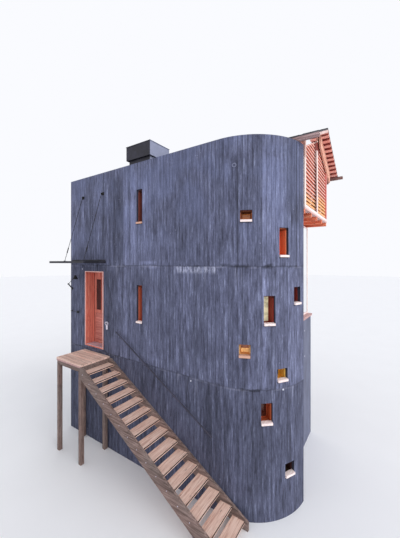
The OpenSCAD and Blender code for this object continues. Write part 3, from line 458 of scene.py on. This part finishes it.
# %% Second coats and painted light: window linings and door leaf
# Linings that differ from the rest: from and to in height, from and to round the corner in
# degrees, and their tone. The two golden tones are painted lamp light from the rooms behind.
# The slots in the flat wall lie at angles below zero.
window_tones = [
    (3.3, 3.66, 15, 31, (255, 204, 138)), (2.8, 3.14, 48, 62, (255, 204, 96)),
    (4.0, 4.67, 35, 52, (154, 54, 42)), (4.4, 4.83, 64, 80, (126, 44, 38)),
    (2.0, 2.45, 33, 49, (196, 98, 58)), (0.8, 1.12, 54, 71, (34, 24, 26)),
    (6.2, 6.45, 15, 32, (170, 96, 56)), (5.4, 6.1, 48, 64, (255, 138, 92)),
    (6.3, 7.3, -70, -40, (132, 74, 64)), (3.7, 4.76, -70, -40, (208, 110, 82))]
hinge_x = -2.674


def in_window(f, foot, top, start, stop):
    """1 between two heights and two angles round the corner, in degrees."""
    angle = corner_angle(f) * math.degrees(1)
    return (f.z > foot) * (f.z < top) * (angle > start) * (angle < stop)


def jamb_tones(f, colour):
    """Painted light: up-facing feet of a lining are pale, down-facing heads get the darkest
    painted shade.
    """
    up = f.facing()[2]
    # Painted light on the faces that look up, painted shade on those that look down
    colour = f.mix((up > 0.5) * 0.85, colour, rgb(246, 204, 150))
    colour = f.mix((up < -0.5) * 0.7, colour, rgb(112, 34, 24))
    for foot, top, start, stop, tone in window_tones:
        here = in_window(f, foot, top, start, stop)
        # Each listed lining takes its tone; the two golden ones are painted lamp light
        colour = f.mix(here * 0.95, colour, rgb(*tone))
        # Painted shade under the head of each listed window
        colour = f.shade(colour, 1.0 - here * f.z.ramp(top - 0.07, top - 0.03) * 0.6)
    return colour


def hinge_edge(f, colour):
    """A dark joint along the hinge side of the leaf."""
    return f.shade(colour, 1.0 - (f.x < hinge_x) * 0.6)


# %% Larch for every piece of the house
red_larch = [(176, 60, 38), (216, 88, 54), (232, 118, 80)]
pale_larch = [(206, 164, 148), (236, 202, 186), (250, 226, 214)]
old_boards = dict(run="x", tones=[(84, 66, 60), (128, 106, 100), (172, 150, 144)], pitch=0.2,
                  across="z", rough=0.7, grey=0.4, patches=0.3)
lining_wood = dress(timber("lining_larch", "z", red_larch, coat=jamb_tones), "window_linings")
door_wood = timber("door_larch", "z", [(190, 102, 88), (210, 128, 112), (228, 158, 140)],
                   0.1, "x", seam=0.004, coat=hinge_edge)
dress(door_wood, "door_leaf")
dress(timber("door_lining_larch", "z", [(196, 98, 84), (220, 128, 110), (236, 160, 140)],
             0.1, "y", seam=0.006), "door_frame")
dress(timber("cladding_larch_x", "z", red_larch, 0.12, "x", seam=0.006),
      "gable_infill", "valley_frame")
clad_y = timber("cladding_larch_y", "z", [(92, 26, 20), (128, 42, 32), (150, 60, 46)],
                0.12, "y", seam=0.006)
dress(clad_y, "gable_board", "loggia_side")
dress(timber("slat_larch", "y", [(176, 76, 56), (206, 104, 80), (226, 136, 112)],
             slat_pitch, "z", coat=warm_foot), "loggia_screen_near", "loggia_screen_far")
dress(timber("joist_larch", "x", [(206, 96, 68), (242, 140, 104), (252, 184, 150)],
             0.2, "y"), "loggia_joists")
dress(timber("plank_larch", "x", red_larch, 0.12, "y", seam=0.006), "loggia_floor")
post_wood = timber("post_larch", "z", [(232, 204, 196), (246, 226, 220), (255, 242, 236)],
                   coat=post_tones)
dress(post_wood, "loggia_posts")
dress(timber("pale_larch_across", "y", pale_larch), "stair_treads")
dress(timber("pale_larch_along", "x", pale_larch, 0.125, "y", seam=0.008), "landing_deck")
sill_wood = timber("sill_larch", "y", [(236, 212, 208), (250, 232, 230), (255, 246, 244)],
                   coat=sill_tones)
dress(sill_wood, "window_sills", "loggia_rails")
dress(timber("barge_larch", "y", [(206, 136, 112), (234, 178, 156), (246, 204, 186)]),
      "barge_rafter")
dress(timber("rafter_larch", "y", [(120, 66, 54), (166, 104, 88), (196, 140, 124)]),
      "rafters", "roof_plates")
dress(timber("batten_larch", "x", [(200, 122, 108), (234, 170, 156), (248, 198, 184)],
             0.17, "y", rough=0.65, coat=bleach_and_painted_shade), "battens")
dress(timber("fascia_larch", "x", [(126, 100, 100), (176, 146, 146), (212, 182, 180)],
             rough=0.7, grey=0.2, patches=0.2, coat=far_eave), "eave_fascia", "eave_gutters")
ledge_wood = timber("ledge_larch", "y", [(160, 124, 122), (190, 152, 150), (214, 180, 176)])
dress(ledge_wood, "valley_ledge")
dress(timber("old_larch_stair", **old_boards), "stair_strings")
dress(timber("old_larch_landing", upright=2.46, **old_boards), "landing_frame")
print("timber finishes done")

# %% [markdown]
# ## Metal and glass
# Dark coated sheet covers the roof, the canopy and the vent. The window glass is almost clear
# straight on. The valley windows have a sun coating, so at a flat angle they mirror the sky.

# %% Sheet metal and panes
def sheet_metal(name, dark, light, metal=0.3, rough=0.45, painted_lit_side=None, under=None):
    """bleach: painted light, a lighter tone for the side towards the valley; under: of the boards
    below the sheet.
    """
    f = Finish(name, Metallic=metal)
    dust = f.clouds(f.where, 3.0, 6.0, 0.65)
    brushed = f.clouds(f.spot(f.x * 6.0, f.y * 60.0, f.z * 60.0), 1.0, 3.0, 0.6)
    spots = f.cells(f.where, 24.0).ramp(0.04, 0.12, 1.0, 0.0)
    colour = f.mix(dust.ramp(0.4, 0.68), rgb(*dark), rgb(*light))
    if painted_lit_side:
        # Painted light: the side that faces the valley is lighter
        colour = f.mix((f.facing()[0] > 0.5) * (0.7 + dust * 0.4), colour, rgb(*painted_lit_side))
    if under:
        colour = f.mix((f.facing()[2] < -0.5) * (0.7 + dust * 0.4), colour, rgb(*under))
    colour = f.shade(colour, 1.0 - spots * dust * 0.3)
    return f.wear(colour, rough + dust * 0.25, dust * 0.3 + brushed * 0.2, 0.001, 0.3)


dark_sheet = dress(sheet_metal("dark_sheet", (34, 34, 42), (58, 58, 70)),
                   "flat_roof", "ridge_cap", "canopy")
dress(sheet_metal("roof_sheet", (34, 34, 42), (58, 58, 70), under=(150, 44, 42)),
      "roof_deck_near", "roof_deck_far")
vent_sheet = sheet_metal("vent_sheet", (30, 29, 40), (50, 49, 64), 0.2, 0.4, (150, 156, 182))
dress(vent_sheet, "vent_box")
black_steel = dress(sheet_metal("black_steel", (13, 13, 16), (30, 30, 35), 0.2, 0.5),
                    "canopy_rods", "wall_lamp", "wall_hook", "door_handle")
dress(sheet_metal("rail_steel", (54, 53, 68), (72, 71, 90), 0.2, 0.5), "handrail")
grey_steel = dress(sheet_metal("grey_steel", (196, 190, 206), (232, 226, 238), 0.5, 0.3),
                   "bell_box", "door_hinges")


def glass(name, tone, mirror, low, tints=()):
    """mirror: how much the pane mirrors at a flat angle; low: how dense it looks straight on."""
    f = Finish(name, IOR=1.52, Emission_Strength=0.55 if tints else 0.0)
    tone, lit = rgb(*tone), rgb(0, 0, 0)
    # Painted light: each tint also glows from the pane, for the lit room behind it
    for foot, top, start, stop, tint in tints:
        streaky = f.clouds(f.spot(f.x * 6.0, f.y * 6.0, f.z * 9.0), 1.0, 3.0)
        here = in_window(f, foot, top, start, stop) * streaky.ramp(0.3, 0.6, 0.55, 1.0)
        tone = f.mix(here, tone, rgb(*tint))
        lit = f.mix(here, lit, rgb(*tint))
    facing = f.add("LayerWeight", None, {"Blend": 0.5}, 1)
    smear = f.clouds(f.where, 4.0, 3.0, 0.5)
    coat = facing.ramp(0.35, 0.62, 0.0, mirror)
    colour = f.mix(coat, tone, rgb(250, 250, 252))
    return f.wear(colour, 0.03 + smear * 0.06, smear, 0.0006, 0.2, Metallic=coat,
                  Emission_Color=lit, Alpha=facing.ramp(0.1, 0.6, low, 1.0))


# Panes that glow with painted light from the rooms behind: places as for the linings, and a tint
pane_tints = [
    (4.0, 4.7, 35, 52, (218, 212, 178)), (3.3, 3.51, 15, 31, (252, 206, 142)),
    (3.51, 3.7, 15, 31, (140, 86, 62)), (6.2, 6.5, 15, 32, (160, 92, 44)),
    (2.0, 2.5, 33, 49, (64, 28, 20))]
dress(glass("window_pane", (24, 24, 30), 0.15, 0.9, pane_tints), "window_glass")
# Dark glass tinted red-brown: the red is a painted reflection of the larch lining
dress(glass("door_pane", (60, 34, 35), 0.1, 0.9), "door_light")
dress(glass("coated_pane", (46, 50, 58), 1.0, 0.6), "valley_glass", "gable_glass")
print("metal and glass done")

# %% [markdown]
# ## Modelling by hand
# The small parts are modelled as in Blender's edit mode: start from a primitive at its size and
# place, choose faces by where they are and where they face, then inset, extrude or bevel.
# Everything is deselected first, because an operator acts on all that is selected.

# %% Helpers for modelling
bpy.context.tool_settings.mesh_select_mode = (False, False, True)


def begin(kind, name, stretch=(1, 1, 1), **sizes):
    """Adds a primitive at its place, stretches it and opens it for editing."""
    bpy.ops.object.select_all(action="DESELECT")
    getattr(bpy.ops.mesh, f"primitive_{kind}_add")(**sizes)
    piece = bpy.context.object
    piece.name = name
    piece.scale = stretch
    bpy.ops.object.transform_apply(location=True, rotation=True, scale=True)
    bpy.ops.object.mode_set(mode="EDIT")
    return piece


def pick(piece, test):
    """Selects the faces whose middle and normal pass a test."""
    bpy.ops.object.mode_set(mode="OBJECT")
    mesh = piece.data
    for group in (mesh.vertices, mesh.edges, mesh.polygons):
        group.foreach_set("select", [False] * len(group))
    for face in mesh.polygons:
        face.select = bool(test(face.center, face.normal))
    bpy.ops.object.mode_set(mode="EDIT")


def modify(kind, **settings):
    """Adds a modifier to the piece in hand and applies it."""
    bpy.ops.object.mode_set(mode="OBJECT")
    bpy.ops.object.modifier_add(type=kind)
    made = bpy.context.object.modifiers[-1]
    for name, value in settings.items():
        setattr(made, name, value)
    bpy.ops.object.modifier_apply(modifier=made.name)


def row(count, step):
    """Repeats the piece in hand, each time one step further."""
    modify("ARRAY", count=count, use_relative_offset=False, use_constant_offset=True,
           constant_offset_displace=step)


def end(piece, material, slot, body="house", smooth=None):
    """Closes a piece, gives it its finish and hangs it on its body."""
    bpy.ops.object.mode_set(mode="OBJECT")
    piece.data.materials.append(material)
    if smooth:
        bpy.ops.object.shade_smooth_by_angle(angle=math.radians(smooth))
    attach(piece, body)
    return piece


def cube(name, middle, size, turn=(0, 0, 0)):
    return begin("cube", name, size=1, location=middle, scale=size, rotation=turn)


def ease(edge):
    """Rounds the edges of the selected faces."""
    bpy.ops.mesh.bevel(offset=edge, segments=2, affect="EDGES")


def block(name, low, high, edge=0.003):
    """A board or plate with eased edges, from its lowest to its highest corner."""
    low, high = Vector(low), Vector(high)
    piece = cube(name, (low + high) / 2, high - low)
    ease(edge)
    return piece


def bead(name, middle, turn, width, height, wide, deep):
    """A frame of beads round an opening: turn is round z, 0 faces -y."""
    piece = begin("plane", name, stretch=(width, height, 1), size=1, location=middle,
                  rotation=(math.pi / 2, 0, turn))
    bpy.ops.mesh.inset(thickness=wide, depth=0)
    bpy.ops.mesh.delete(type="ONLY_FACE")
    modify("SOLIDIFY", thickness=deep, offset=0)
    modify("BEVEL", width=min(wide, deep) * 0.2, segments=2)
    return piece


def stud(name, middle, way, across, deep, sides=16, crown=0.7):
    """A bolt head, plug or button, turned by way: a short cylinder with a smaller crown."""
    piece = begin("cylinder", name, vertices=sides, radius=across / 2, depth=deep,
                  location=middle, rotation=way)
    modify("BEVEL", width=deep * (1 - crown), segments=2, limit_method="ANGLE")
    return piece


to_front = (math.pi / 2, 0, 0)
print("helpers ready")

# %% [markdown]
# ## Beads of the windows
# Each pane is held by a bead, a slim frame of planed larch in front of the glass. Those in the
# round wall are turned with the wall. Under each sill a thin dark strip runs along the wall.

# %% Window beads and seals
front_y, far_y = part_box("wall_top_front")[0][1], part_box("far_wall")[1][1]
wall_t, glass_in, glass_t, liner_t = 0.36, 0.06, 0.024, 0.022
inner_r = corner_r - wall_t
bead_w, bead_t, sill_strip_t, sill_strip_deep, sill_strip_over = 0.018, 0.02, 0.012, 0.021, 0.004
# Angle round the corner, sill, width and height of each window there
corner_windows = {
    "top_a": (24.2, 6.204, 0.249, 0.248), "top_b": (56.6, 5.474, 0.237, 0.623),
    "mid_a": (23.0, 3.390, 0.241, 0.271), "mid_b": (43.2, 4.056, 0.247, 0.615),
    "mid_c": (55.1, 2.869, 0.255, 0.270), "mid_d": (72.5, 4.450, 0.240, 0.385),
    "low_a": (41.0, 2.008, 0.247, 0.447), "low_b": (62.8, 0.834, 0.262, 0.283)}
# Sill, width and height of the slots in the flat wall, which the far wall repeats
slots = {"upper": (6.389, 0.212, 0.908), "lower": (3.764, 0.206, 0.999)}


def round_place(angle, radius, height):
    """A place in the round corner: the angle is in radians from the flat wall."""
    return (corner_x + radius * math.sin(angle), corner_y - radius * math.cos(angle), height)


def window_parts(name, outside, inside, turn, sill, width, height):
    """outside and inside give the place on the wall's face and on the glass at a height."""
    piece = bead("bead_" + name, inside(sill + height / 2), turn, width - 2 * liner_t,
                 height - 2 * liner_t, bead_w, bead_t)
    end(piece, lining_wood, "larch")
    # A thin dark strip under the sill
    piece = cube("seal_" + name, outside(sill - sill_strip_t / 2),
                 (width + sill_strip_over, sill_strip_deep, sill_strip_t), (0, 0, turn))
    ease(0.003)
    end(piece, black_steel, "dark_metal")


bead_r = inner_r + glass_in + glass_t + bead_t / 2
for name, (angle, *opening) in corner_windows.items():
    turn = math.radians(angle)
    window_parts(name, lambda z: round_place(turn, corner_r, z),
                 lambda z: round_place(turn, bead_r, z), turn, *opening)
bead_y = front_y + wall_t - glass_in - glass_t - bead_t / 2
for name, opening in slots.items():
    window_parts("slot_" + name, lambda z: (slots_x, front_y, z),
                 lambda z: (slots_x, bead_y, z), 0, *opening)
    window_parts("far_slot_" + name, lambda z: (slots_x, far_y, z),
                 lambda z: (slots_x, -bead_y, z), 0, *opening)
print(len(corner_windows) + 2 * len(slots), "windows")

# %% [markdown]
# ## Plugs in the concrete
# The forms were held by steel ties. Their holes are closed with small mortar plugs, and a few of
# these are pale enough to be seen. One higher up has a ring round it.

# %% Tie plugs
def mortar(name, dark, light):
    f = Finish(name)
    crumbs = f.clouds(f.where, 60.0, 4.0, 0.6)
    return f.wear(f.mix(crumbs, rgb(*dark), rgb(*light)), 0.8, crumbs, 0.001, 0.5)


plug_mortar = mortar("plug_mortar", (176, 178, 198), (226, 228, 242))
ring_mortar = mortar("ring_mortar", (118, 122, 148), (150, 154, 180))
plug_d, plug_t = 0.04, 0.012


def plug(name, middle, turn=0.0):
    """turn is the direction in which the plug looks, 0 for -y."""
    piece = stud("plug_" + name, middle, (math.pi / 2, 0, turn), plug_d, plug_t, 20, 0.6)
    side = Vector((math.sin(turn), -math.cos(turn), 0))
    pick(piece, lambda centre, normal: normal.dot(side) > 0.95)
    bpy.ops.mesh.inset(thickness=plug_d * 0.12, depth=-0.002)
    end(piece, plug_mortar, "plain_concrete", smooth=30)


plug("by_the_door", (-2.89, front_y, 5.16))
plug("over_the_stair", (1.34, front_y, 2.645))
low_turn, ring_turn = math.radians(55.5), math.radians(14.5)
plug("low", round_place(low_turn, corner_r, 2.7), low_turn)
base_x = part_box("valley_base")[1][0]
for name, height in (("base_upper", 3.36), ("base_lower", 2.61)):
    plug(name, (base_x, 1.26, height), math.pi / 2)
ring = begin("torus", "plug_ring", location=round_place(ring_turn, corner_r, 7.4),
             rotation=(math.pi / 2, 0, ring_turn), major_radius=0.038, minor_radius=0.007,
             major_segments=28, minor_segments=8)
end(ring, ring_mortar, "plain_concrete", smooth=60)
print("plugs set")

# %% [markdown]
# ## The entrance
# The door sits deep in a larch lining. A thin pale trim covers the edge of the lining, a raised
# panel stiffens the foot of the leaf, and a bead holds its glass. What is on the leaf rides on
# the leaf, so it swings with it.

# %% Door trim, panel and fittings
lining_low, lining_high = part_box("door_frame")
leaf_low, leaf_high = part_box("door_leaf")
light_low, light_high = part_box("door_light")
handle_low, handle_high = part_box("door_handle")
trim_w, trim_t = 0.026, 0.01
trim_wood = timber("trim_larch", "z", [(226, 168, 158), (244, 198, 190), (252, 218, 210)])
left, right, foot, head = lining_low[0], lining_high[0], lining_low[2], lining_high[2]
for name, x0, x1, z0 in (("left", left, left + trim_w, foot),
                         ("right", right - trim_w, right, foot),
                         ("head", left + trim_w, right - trim_w, head - trim_w)):
    piece = block("door_trim_" + name, (x0, lining_low[1] - trim_t, z0),
                  (x1, lining_low[1], head))
    end(piece, trim_wood, "pale_larch")
panel_wood = timber("panel_larch", "x", [(172, 96, 86), (198, 124, 112), (214, 148, 136)],
                    0.14, "z")
panel_side, panel_foot, panel_head, panel_t = 0.07, 0.08, 0.1, 0.008
piece = block("door_panel",
              (leaf_low[0] + panel_side, leaf_low[1] - panel_t, leaf_low[2] + panel_foot),
              (leaf_high[0] - panel_side, leaf_low[1], light_low[2] - panel_head), 0.002)
pick(piece, lambda centre, normal: normal.y < -0.9)
bpy.ops.mesh.inset(thickness=0.04, depth=-0.003)
end(piece, panel_wood, "larch", "door")
fitting_y, bead_over = leaf_low[1] - 0.004, 0.02
light_mid, light_size = (light_low + light_high) / 2, light_high - light_low
piece = bead("door_light_bead", (light_mid.x, fitting_y, light_mid.z), 0,
             light_size.x + bead_over, light_size.z + bead_over, 0.013, 0.012)
end(piece, door_wood, "larch", "door")
lock_d, lock_t = 0.052, 0.012
piece = stud("door_lock", (handle_high[0] - 0.03, fitting_y, handle_low[2] - 0.1), to_front,
             lock_d, lock_t, 24)
pick(piece, lambda centre, normal: normal.y < -0.95)
bpy.ops.mesh.inset(thickness=0.012, depth=-0.002)
end(piece, grey_steel, "grey_metal", "door", 30)
piece = block("door_threshold", (left + 0.03, lining_low[1] + 0.01, foot + 0.028),
              (right - 0.03, leaf_low[1] - 0.012, foot + 0.034), 0.002)
end(piece, grey_steel, "grey_metal")
print("entrance dressed")

# %% [markdown]
# ## Bell, lamp and rod plates
# The bell has a bright ring with a dark push in it. The lamp gets its bulb, a sleeve on its lower
# arm and a knob on the joint, and the hook beside it a cap. Each canopy rod is bolted to the wall
# through a small plate.

# %% Bell and lamp
bell_low, bell_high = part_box("bell_box")
bell_x, bell_z = (bell_low[0] + bell_high[0]) / 2, 3.594
bell = begin("torus", "bell_ring", location=(bell_x, bell_low[1] - 0.004, bell_z),
             rotation=to_front, major_radius=0.046, minor_radius=0.008, major_segments=32,
             minor_segments=10)
end(bell, grey_steel, "grey_metal", smooth=60)
piece = stud("bell_push", (bell_x, bell_low[1] - 0.003, bell_z), to_front, 0.05, 0.012, 24, 0.6)
end(piece, black_steel, "dark_metal", smooth=40)
f = Finish("bulb_glass", Coat_Weight=0.5)
haze = f.clouds(f.where, 20.0)
bulb_glass = f.wear(f.mix(haze, rgb(226, 222, 206), rgb(248, 246, 236)), 0.15 + haze * 0.1)
arm_x, lamp_x, lamp_y, bulb_z = -3.434, -3.05, -2.19, 4.882
bulb = begin("uv_sphere", "lamp_bulb", segments=20, ring_count=12, radius=0.032,
             location=(lamp_x, lamp_y, bulb_z))
pick(bulb, lambda centre, normal: centre.z > bulb_z + 0.018)
bpy.ops.mesh.extrude_region_move(TRANSFORM_OT_translate={"value": (0, 0, 0.012)})
end(bulb, bulb_glass, "glazing", smooth=60)
arm_foot, arm_head = Vector((arm_x, -2.06, 4.518)), Vector((arm_x, lamp_y, 4.671))
arm_lean = math.atan2(arm_foot.y - arm_head.y, arm_head.z - arm_foot.z)
hook_low, hook_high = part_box("wall_hook")
hook_end = (hook_high[0] - 0.032, -2.105, (hook_low[2] + hook_high[2]) / 2)
for name, middle, way, across, deep, crown in (
        ("lamp_sleeve", (arm_foot + arm_head) / 2, (arm_lean, 0, 0), 0.036, 0.15, 0.97),
        ("lamp_knob", arm_head, to_front, 0.05, 0.042, 0.8),
        ("hook_cap", hook_end, to_front, 0.086, 0.03, 0.75)):
    piece = stud(name, middle, way, across, deep, 28, crown)
    end(piece, black_steel, "dark_metal", smooth=40)

# %% Plates of the canopy rods
rods_low, rods_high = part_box("canopy_rods")
plate_w, plate_t, plate_z, bolt_d, bolt_t, rod_r = 0.09, 0.008, 7.39, 0.016, 0.01, 0.0075
bolt_out = plate_w * 0.34
for name, x in (("uphill", rods_low[0] + rod_r), ("valley", rods_high[0] - rod_r)):
    piece = block("rod_plate_" + name,
                  (x - plate_w / 2, front_y - plate_t, plate_z - plate_w / 2),
                  (x + plate_w / 2, front_y, plate_z + plate_w / 2), 0.002)
    end(piece, black_steel, "dark_metal")
    for corner, dx, dz in (("a", -1, -1), ("b", 1, -1), ("c", -1, 1), ("d", 1, 1)):
        middle = (x + dx * bolt_out, front_y - plate_t - 0.004, plate_z + dz * bolt_out)
        piece = stud(f"rod_bolt_{name}_{corner}", middle, to_front, bolt_d, bolt_t, 6)
        end(piece, black_steel, "dark_metal")
canopy_low, canopy_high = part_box("canopy")
angle_in, angle_t, angle_down, angle_up = 0.02, 0.006, 0.01, 0.045
piece = block("canopy_wall_angle",
              (canopy_low[0] + angle_in, front_y - angle_t, canopy_high[2] - angle_down),
              (canopy_high[0] - angle_in, front_y, canopy_high[2] + angle_up), 0.002)
end(piece, dark_sheet, "dark_metal")
print("bell, lamp and rods done")

# %% [markdown]
# ## The stair
# Each tread has a steel nosing let into its front edge, and is held to the string by a coach
# bolt. The first is modelled at the top tread, and an array sets one on each tread below.

# %% Nosings and bolts
treads_low, treads_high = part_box("stair_treads")
tread_n, rise, going = 15, 0.16625, 0.285
tread_top = treads_high[2]
nose_x = treads_low[0] + (treads_high[0] - treads_low[0] - (tread_n - 1) * going)
nose_t, nose_h = 0.008, 0.022
nosing = cube("tread_nosings",
              (nose_x - 0.002, (treads_low[1] + treads_high[1]) / 2, tread_top - 0.009),
              (nose_t, treads_high[1] - treads_low[1] - 0.01, nose_h))
pick(nosing, lambda centre, normal: normal.z > 0.9)
ease(0.002)
row(tread_n, (going, 0, -rise))
end(nosing, black_steel, "dark_metal")
string_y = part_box("stair_strings")[0][1]
bolt = stud("string_bolts", (nose_x - going * 0.5, string_y - 0.004, tread_top - 0.03),
            to_front, 0.022, 0.01, 6)
row(tread_n, (going, 0, -rise))
end(bolt, grey_steel, "grey_metal")
deck_low, deck_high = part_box("landing_deck")
edge_t, edge_h = 0.02, 0.045
piece = block("landing_edge", (deck_low[0], deck_low[1], deck_low[2] - edge_h),
              (deck_high[0], deck_low[1] + edge_t, deck_low[2]))
end(piece, ledge_wood, "larch")
print("stair done, nosing at", round(nose_x, 3), round(tread_top, 3))

# %% [markdown]
# ## The roof
# The sheets of the roof are joined by standing seams, folded upright about every half metre. One
# seam is a thin rib with a rolled top, and an array repeats it along the ridge. Iron straps tie
# the wooden gutters to the fascia.

# %% Standing seams and straps
slope_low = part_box("roof_deck_near")[0]
cap_low, cap_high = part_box("ridge_cap")
ridge_y = (cap_low[1] + cap_high[1]) / 2
ridge_z, eave_top, slope_run = 8.96014, 8.144, 1.816
slope = math.atan2(ridge_z - eave_top, slope_run)
seam_n, seam_step, seam_h, seam_w = 15, 0.5, 0.024, 0.01
seam_foot_y, seam_head_y = slope_low[1] + 0.02, cap_low[1] - 0.004
seam_l = (seam_head_y - seam_foot_y) / math.cos(slope)
for name, side in (("near", -1), ("far", 1)):
    mid_y = ridge_y + side * (ridge_y - (seam_foot_y + seam_head_y) / 2)
    mid_z = ridge_z - abs(mid_y - ridge_y) * math.tan(slope) + seam_h / 2 * math.cos(slope)
    mid_y = mid_y + side * seam_h / 2 * math.sin(slope)
    seam = cube("roof_seams_" + name, (slope_low[0] + 0.2, mid_y, mid_z),
                (seam_w, seam_l, seam_h), (-side * slope, 0, 0))
    pick(seam, lambda centre, normal: normal.z > 0.8)
    bpy.ops.mesh.inset(thickness=0.001, depth=0)
    bpy.ops.mesh.extrude_region_move(TRANSFORM_OT_translate={"value": (0.004, 0, 0)})
    row(seam_n, (seam_step, 0, 0))
    end(seam, dark_sheet, "dark_metal")
gutters_low, gutters_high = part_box("eave_gutters")
gutter_w, near_top, far_top = 0.085, 8.098, gutters_high[2]
strap_n, strap_step, strap_w, strap_t = 12, 0.6, 0.025, 0.006
for name, y0, y1, top in (("near", gutters_low[1], gutters_low[1] + gutter_w, near_top),
                          ("far", gutters_high[1] - gutter_w, gutters_high[1], far_top)):
    strap = cube("gutter_straps_" + name, (gutters_low[0] + 0.3, (y0 + y1) / 2, top - 0.001),
                 (strap_w, y1 - y0 - 0.002, strap_t))
    pick(strap, lambda centre, normal: abs(normal.y) > 0.9)
    ease(0.002)
    row(strap_n, (strap_step, 0, 0))
    end(strap, black_steel, "dark_metal")
print("slope", round(math.degrees(slope), 1), "degrees")

# %% [markdown]
# ## The vent and the flat roof
# The hood of the vent is folded from sheet. Angles close its corners, and a row of slats lets the
# air out on the side that looks away from the stair. The flat strip of roof has its drain.

# %% Vent corners and slats
hood_low, hood_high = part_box("vent_box")
lid_out, lid_t, hood_foot = 0.012, 0.014, 8.335
hood_x = (hood_low[0] + lid_out, hood_high[0] - lid_out)
hood_y = (hood_low[1] + lid_out, hood_high[1] - lid_out)
leg, leg_t = 0.018, 0.002
for name, right, back in (("a", 0, 0), ("b", 1, 0), ("c", 0, 1), ("d", 1, 1)):
    x, y = hood_x[right], hood_y[back]
    piece = block("vent_corner_" + name,
                  (x - (leg if right else leg_t), y - (leg if back else leg_t), hood_foot),
                  (x + (leg_t if right else leg), y + (leg_t if back else leg),
                   hood_high[2] - lid_t), 0.001)
    end(piece, vent_sheet, "dark_metal")
slat_n, slat_step, slat_t, slat_h = 8, 0.038, 0.008, 0.022
slat = cube("vent_slats",
            ((hood_x[0] + hood_x[1]) / 2, hood_y[1] + slat_t / 2, hood_foot + 0.06),
            (hood_x[1] - hood_x[0] - 0.16, slat_t, slat_h), (math.radians(-20), 0, 0))
pick(slat, lambda centre, normal: normal.y > 0.8)
bpy.ops.mesh.inset(thickness=0.003, depth=-0.001)
row(slat_n, (0, 0, slat_step))
end(slat, vent_sheet, "dark_metal")
drain_r, drain_t = 0.07, 0.012
drain = begin("cylinder", "roof_drain", vertices=28, radius=drain_r, depth=drain_t,
              location=(1.9, -1.1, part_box("flat_roof")[1][2] + 0.005))
pick(drain, lambda centre, normal: normal.z > 0.9)
bpy.ops.mesh.inset(thickness=0.014, depth=0)
bpy.ops.mesh.inset(thickness=0.012, depth=-0.008)
end(drain, black_steel, "dark_metal", smooth=30)
print("vent done")

# %% [markdown]
# ## The loggia and the valley glazing
# The slats are screwed to the posts and laths, and a dark strip beside the middle post is
# painted shade where the post shades their ends. Slim pressure strips hold the coated panes of
# the valley windows.

# %% Screws and pressure strips
screen_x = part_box("loggia_screen_near")[1][0]
screw_z = slat_low + slat_pitch - 0.027
for name, y, count in (("near", -0.6, 15), ("middle_a", 0.6, 18), ("middle_b", 0.76, 18),
                       ("far", 1.91, 13)):
    screw = stud("slat_screws_" + name, (screen_x + 0.001, y, screw_z), (0, math.pi / 2, 0),
                 0.012, 0.005, 8)
    row(count, (0, 0, slat_pitch))
    end(screw, grey_steel, "grey_metal")
post_y, post_shade_t, post_shade_top = 0.622, 0.008, 7.98
# Painted shade: a dark strip where the middle post shades the ends of the slats
piece = block("slat_end_shade_strip", (screen_x, post_y - 0.046, slat_low),
              (screen_x + post_shade_t, post_y - 0.002, post_shade_top))
end(piece, clad_y, "larch")
glass_low, glass_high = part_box("valley_glass")
strip_w, strip_t, strip_foot, strip_head, bar_y = 0.045, 0.012, 3.762, 6.476, 0.4025
pane_x, y0, y1 = glass_high[0], glass_low[1], glass_high[1]
for name, y in (("near", y0 + strip_w / 2), ("middle", bar_y), ("far", y1 - strip_w / 2)):
    piece = block("glazing_strip_" + name, (pane_x, y - strip_w / 2, strip_foot),
                  (pane_x + strip_t, y + strip_w / 2, strip_head))
    end(piece, post_wood, "pale_larch")
for name, z in (("foot", strip_foot), ("head", strip_head - strip_w)):
    piece = block("glazing_strip_" + name, (pane_x, y0 + strip_w, z),
                  (pane_x + strip_t, y1 - strip_w, z + strip_w))
    end(piece, sill_wood, "pale_larch")
print("loggia done")

# %% [markdown]
# ## Floor and light
# A plain pale floor and an even, bright sky, as on a day of high cloud. The camera and clear
# reflections see a white surround, while the house itself is lit at the level at which a colour
# looks as it was written.

# %% Floor
bpy.ops.object.select_all(action="DESELECT")
bpy.ops.mesh.primitive_circle_add(vertices=96, radius=120, fill_type="NGON", location=(0, 0, 0))
floor = bpy.context.object
floor.name = "studio_floor"
f = Finish("pale_floor")
grain = f.clouds(f.where, 0.8, 4.0, 0.5)
f.wear(f.shade(rgb(244, 245, 248), 0.98 + grain * 0.04), 0.9)
floor.data.materials.append(f.material)

# %% Sky and sun
world = bpy.data.worlds.new("high_cloud")
bpy.context.scene.world = world
world.use_nodes = True
sky = world.node_tree
# Camera, glossy and transmission rays see the full brightness
camera_ray, glossy_ray, through_ray = [node(sky, "LightPath", out=i) for i in (0, 3, 6)]
seen = (camera_ray + glossy_ray + through_ray) > 0.5
level = 0.8 + seen * 0.2
put(sky.nodes["Background"].inputs["Color"], rgb(250, 251, 255))
put(sky.nodes["Background"].inputs["Strength"], level)
sun_lamp = bpy.data.lights.new("soft_sun", "SUN")
sun_lamp.energy, sun_lamp.angle = 1.7, math.radians(70)
sun = bpy.data.objects.new("soft_sun", sun_lamp)
bpy.context.scene.collection.objects.link(sun)
sun.rotation_euler = Vector((-0.9, 0.12, -0.4)).to_track_quat("-Z", "Y").to_euler()
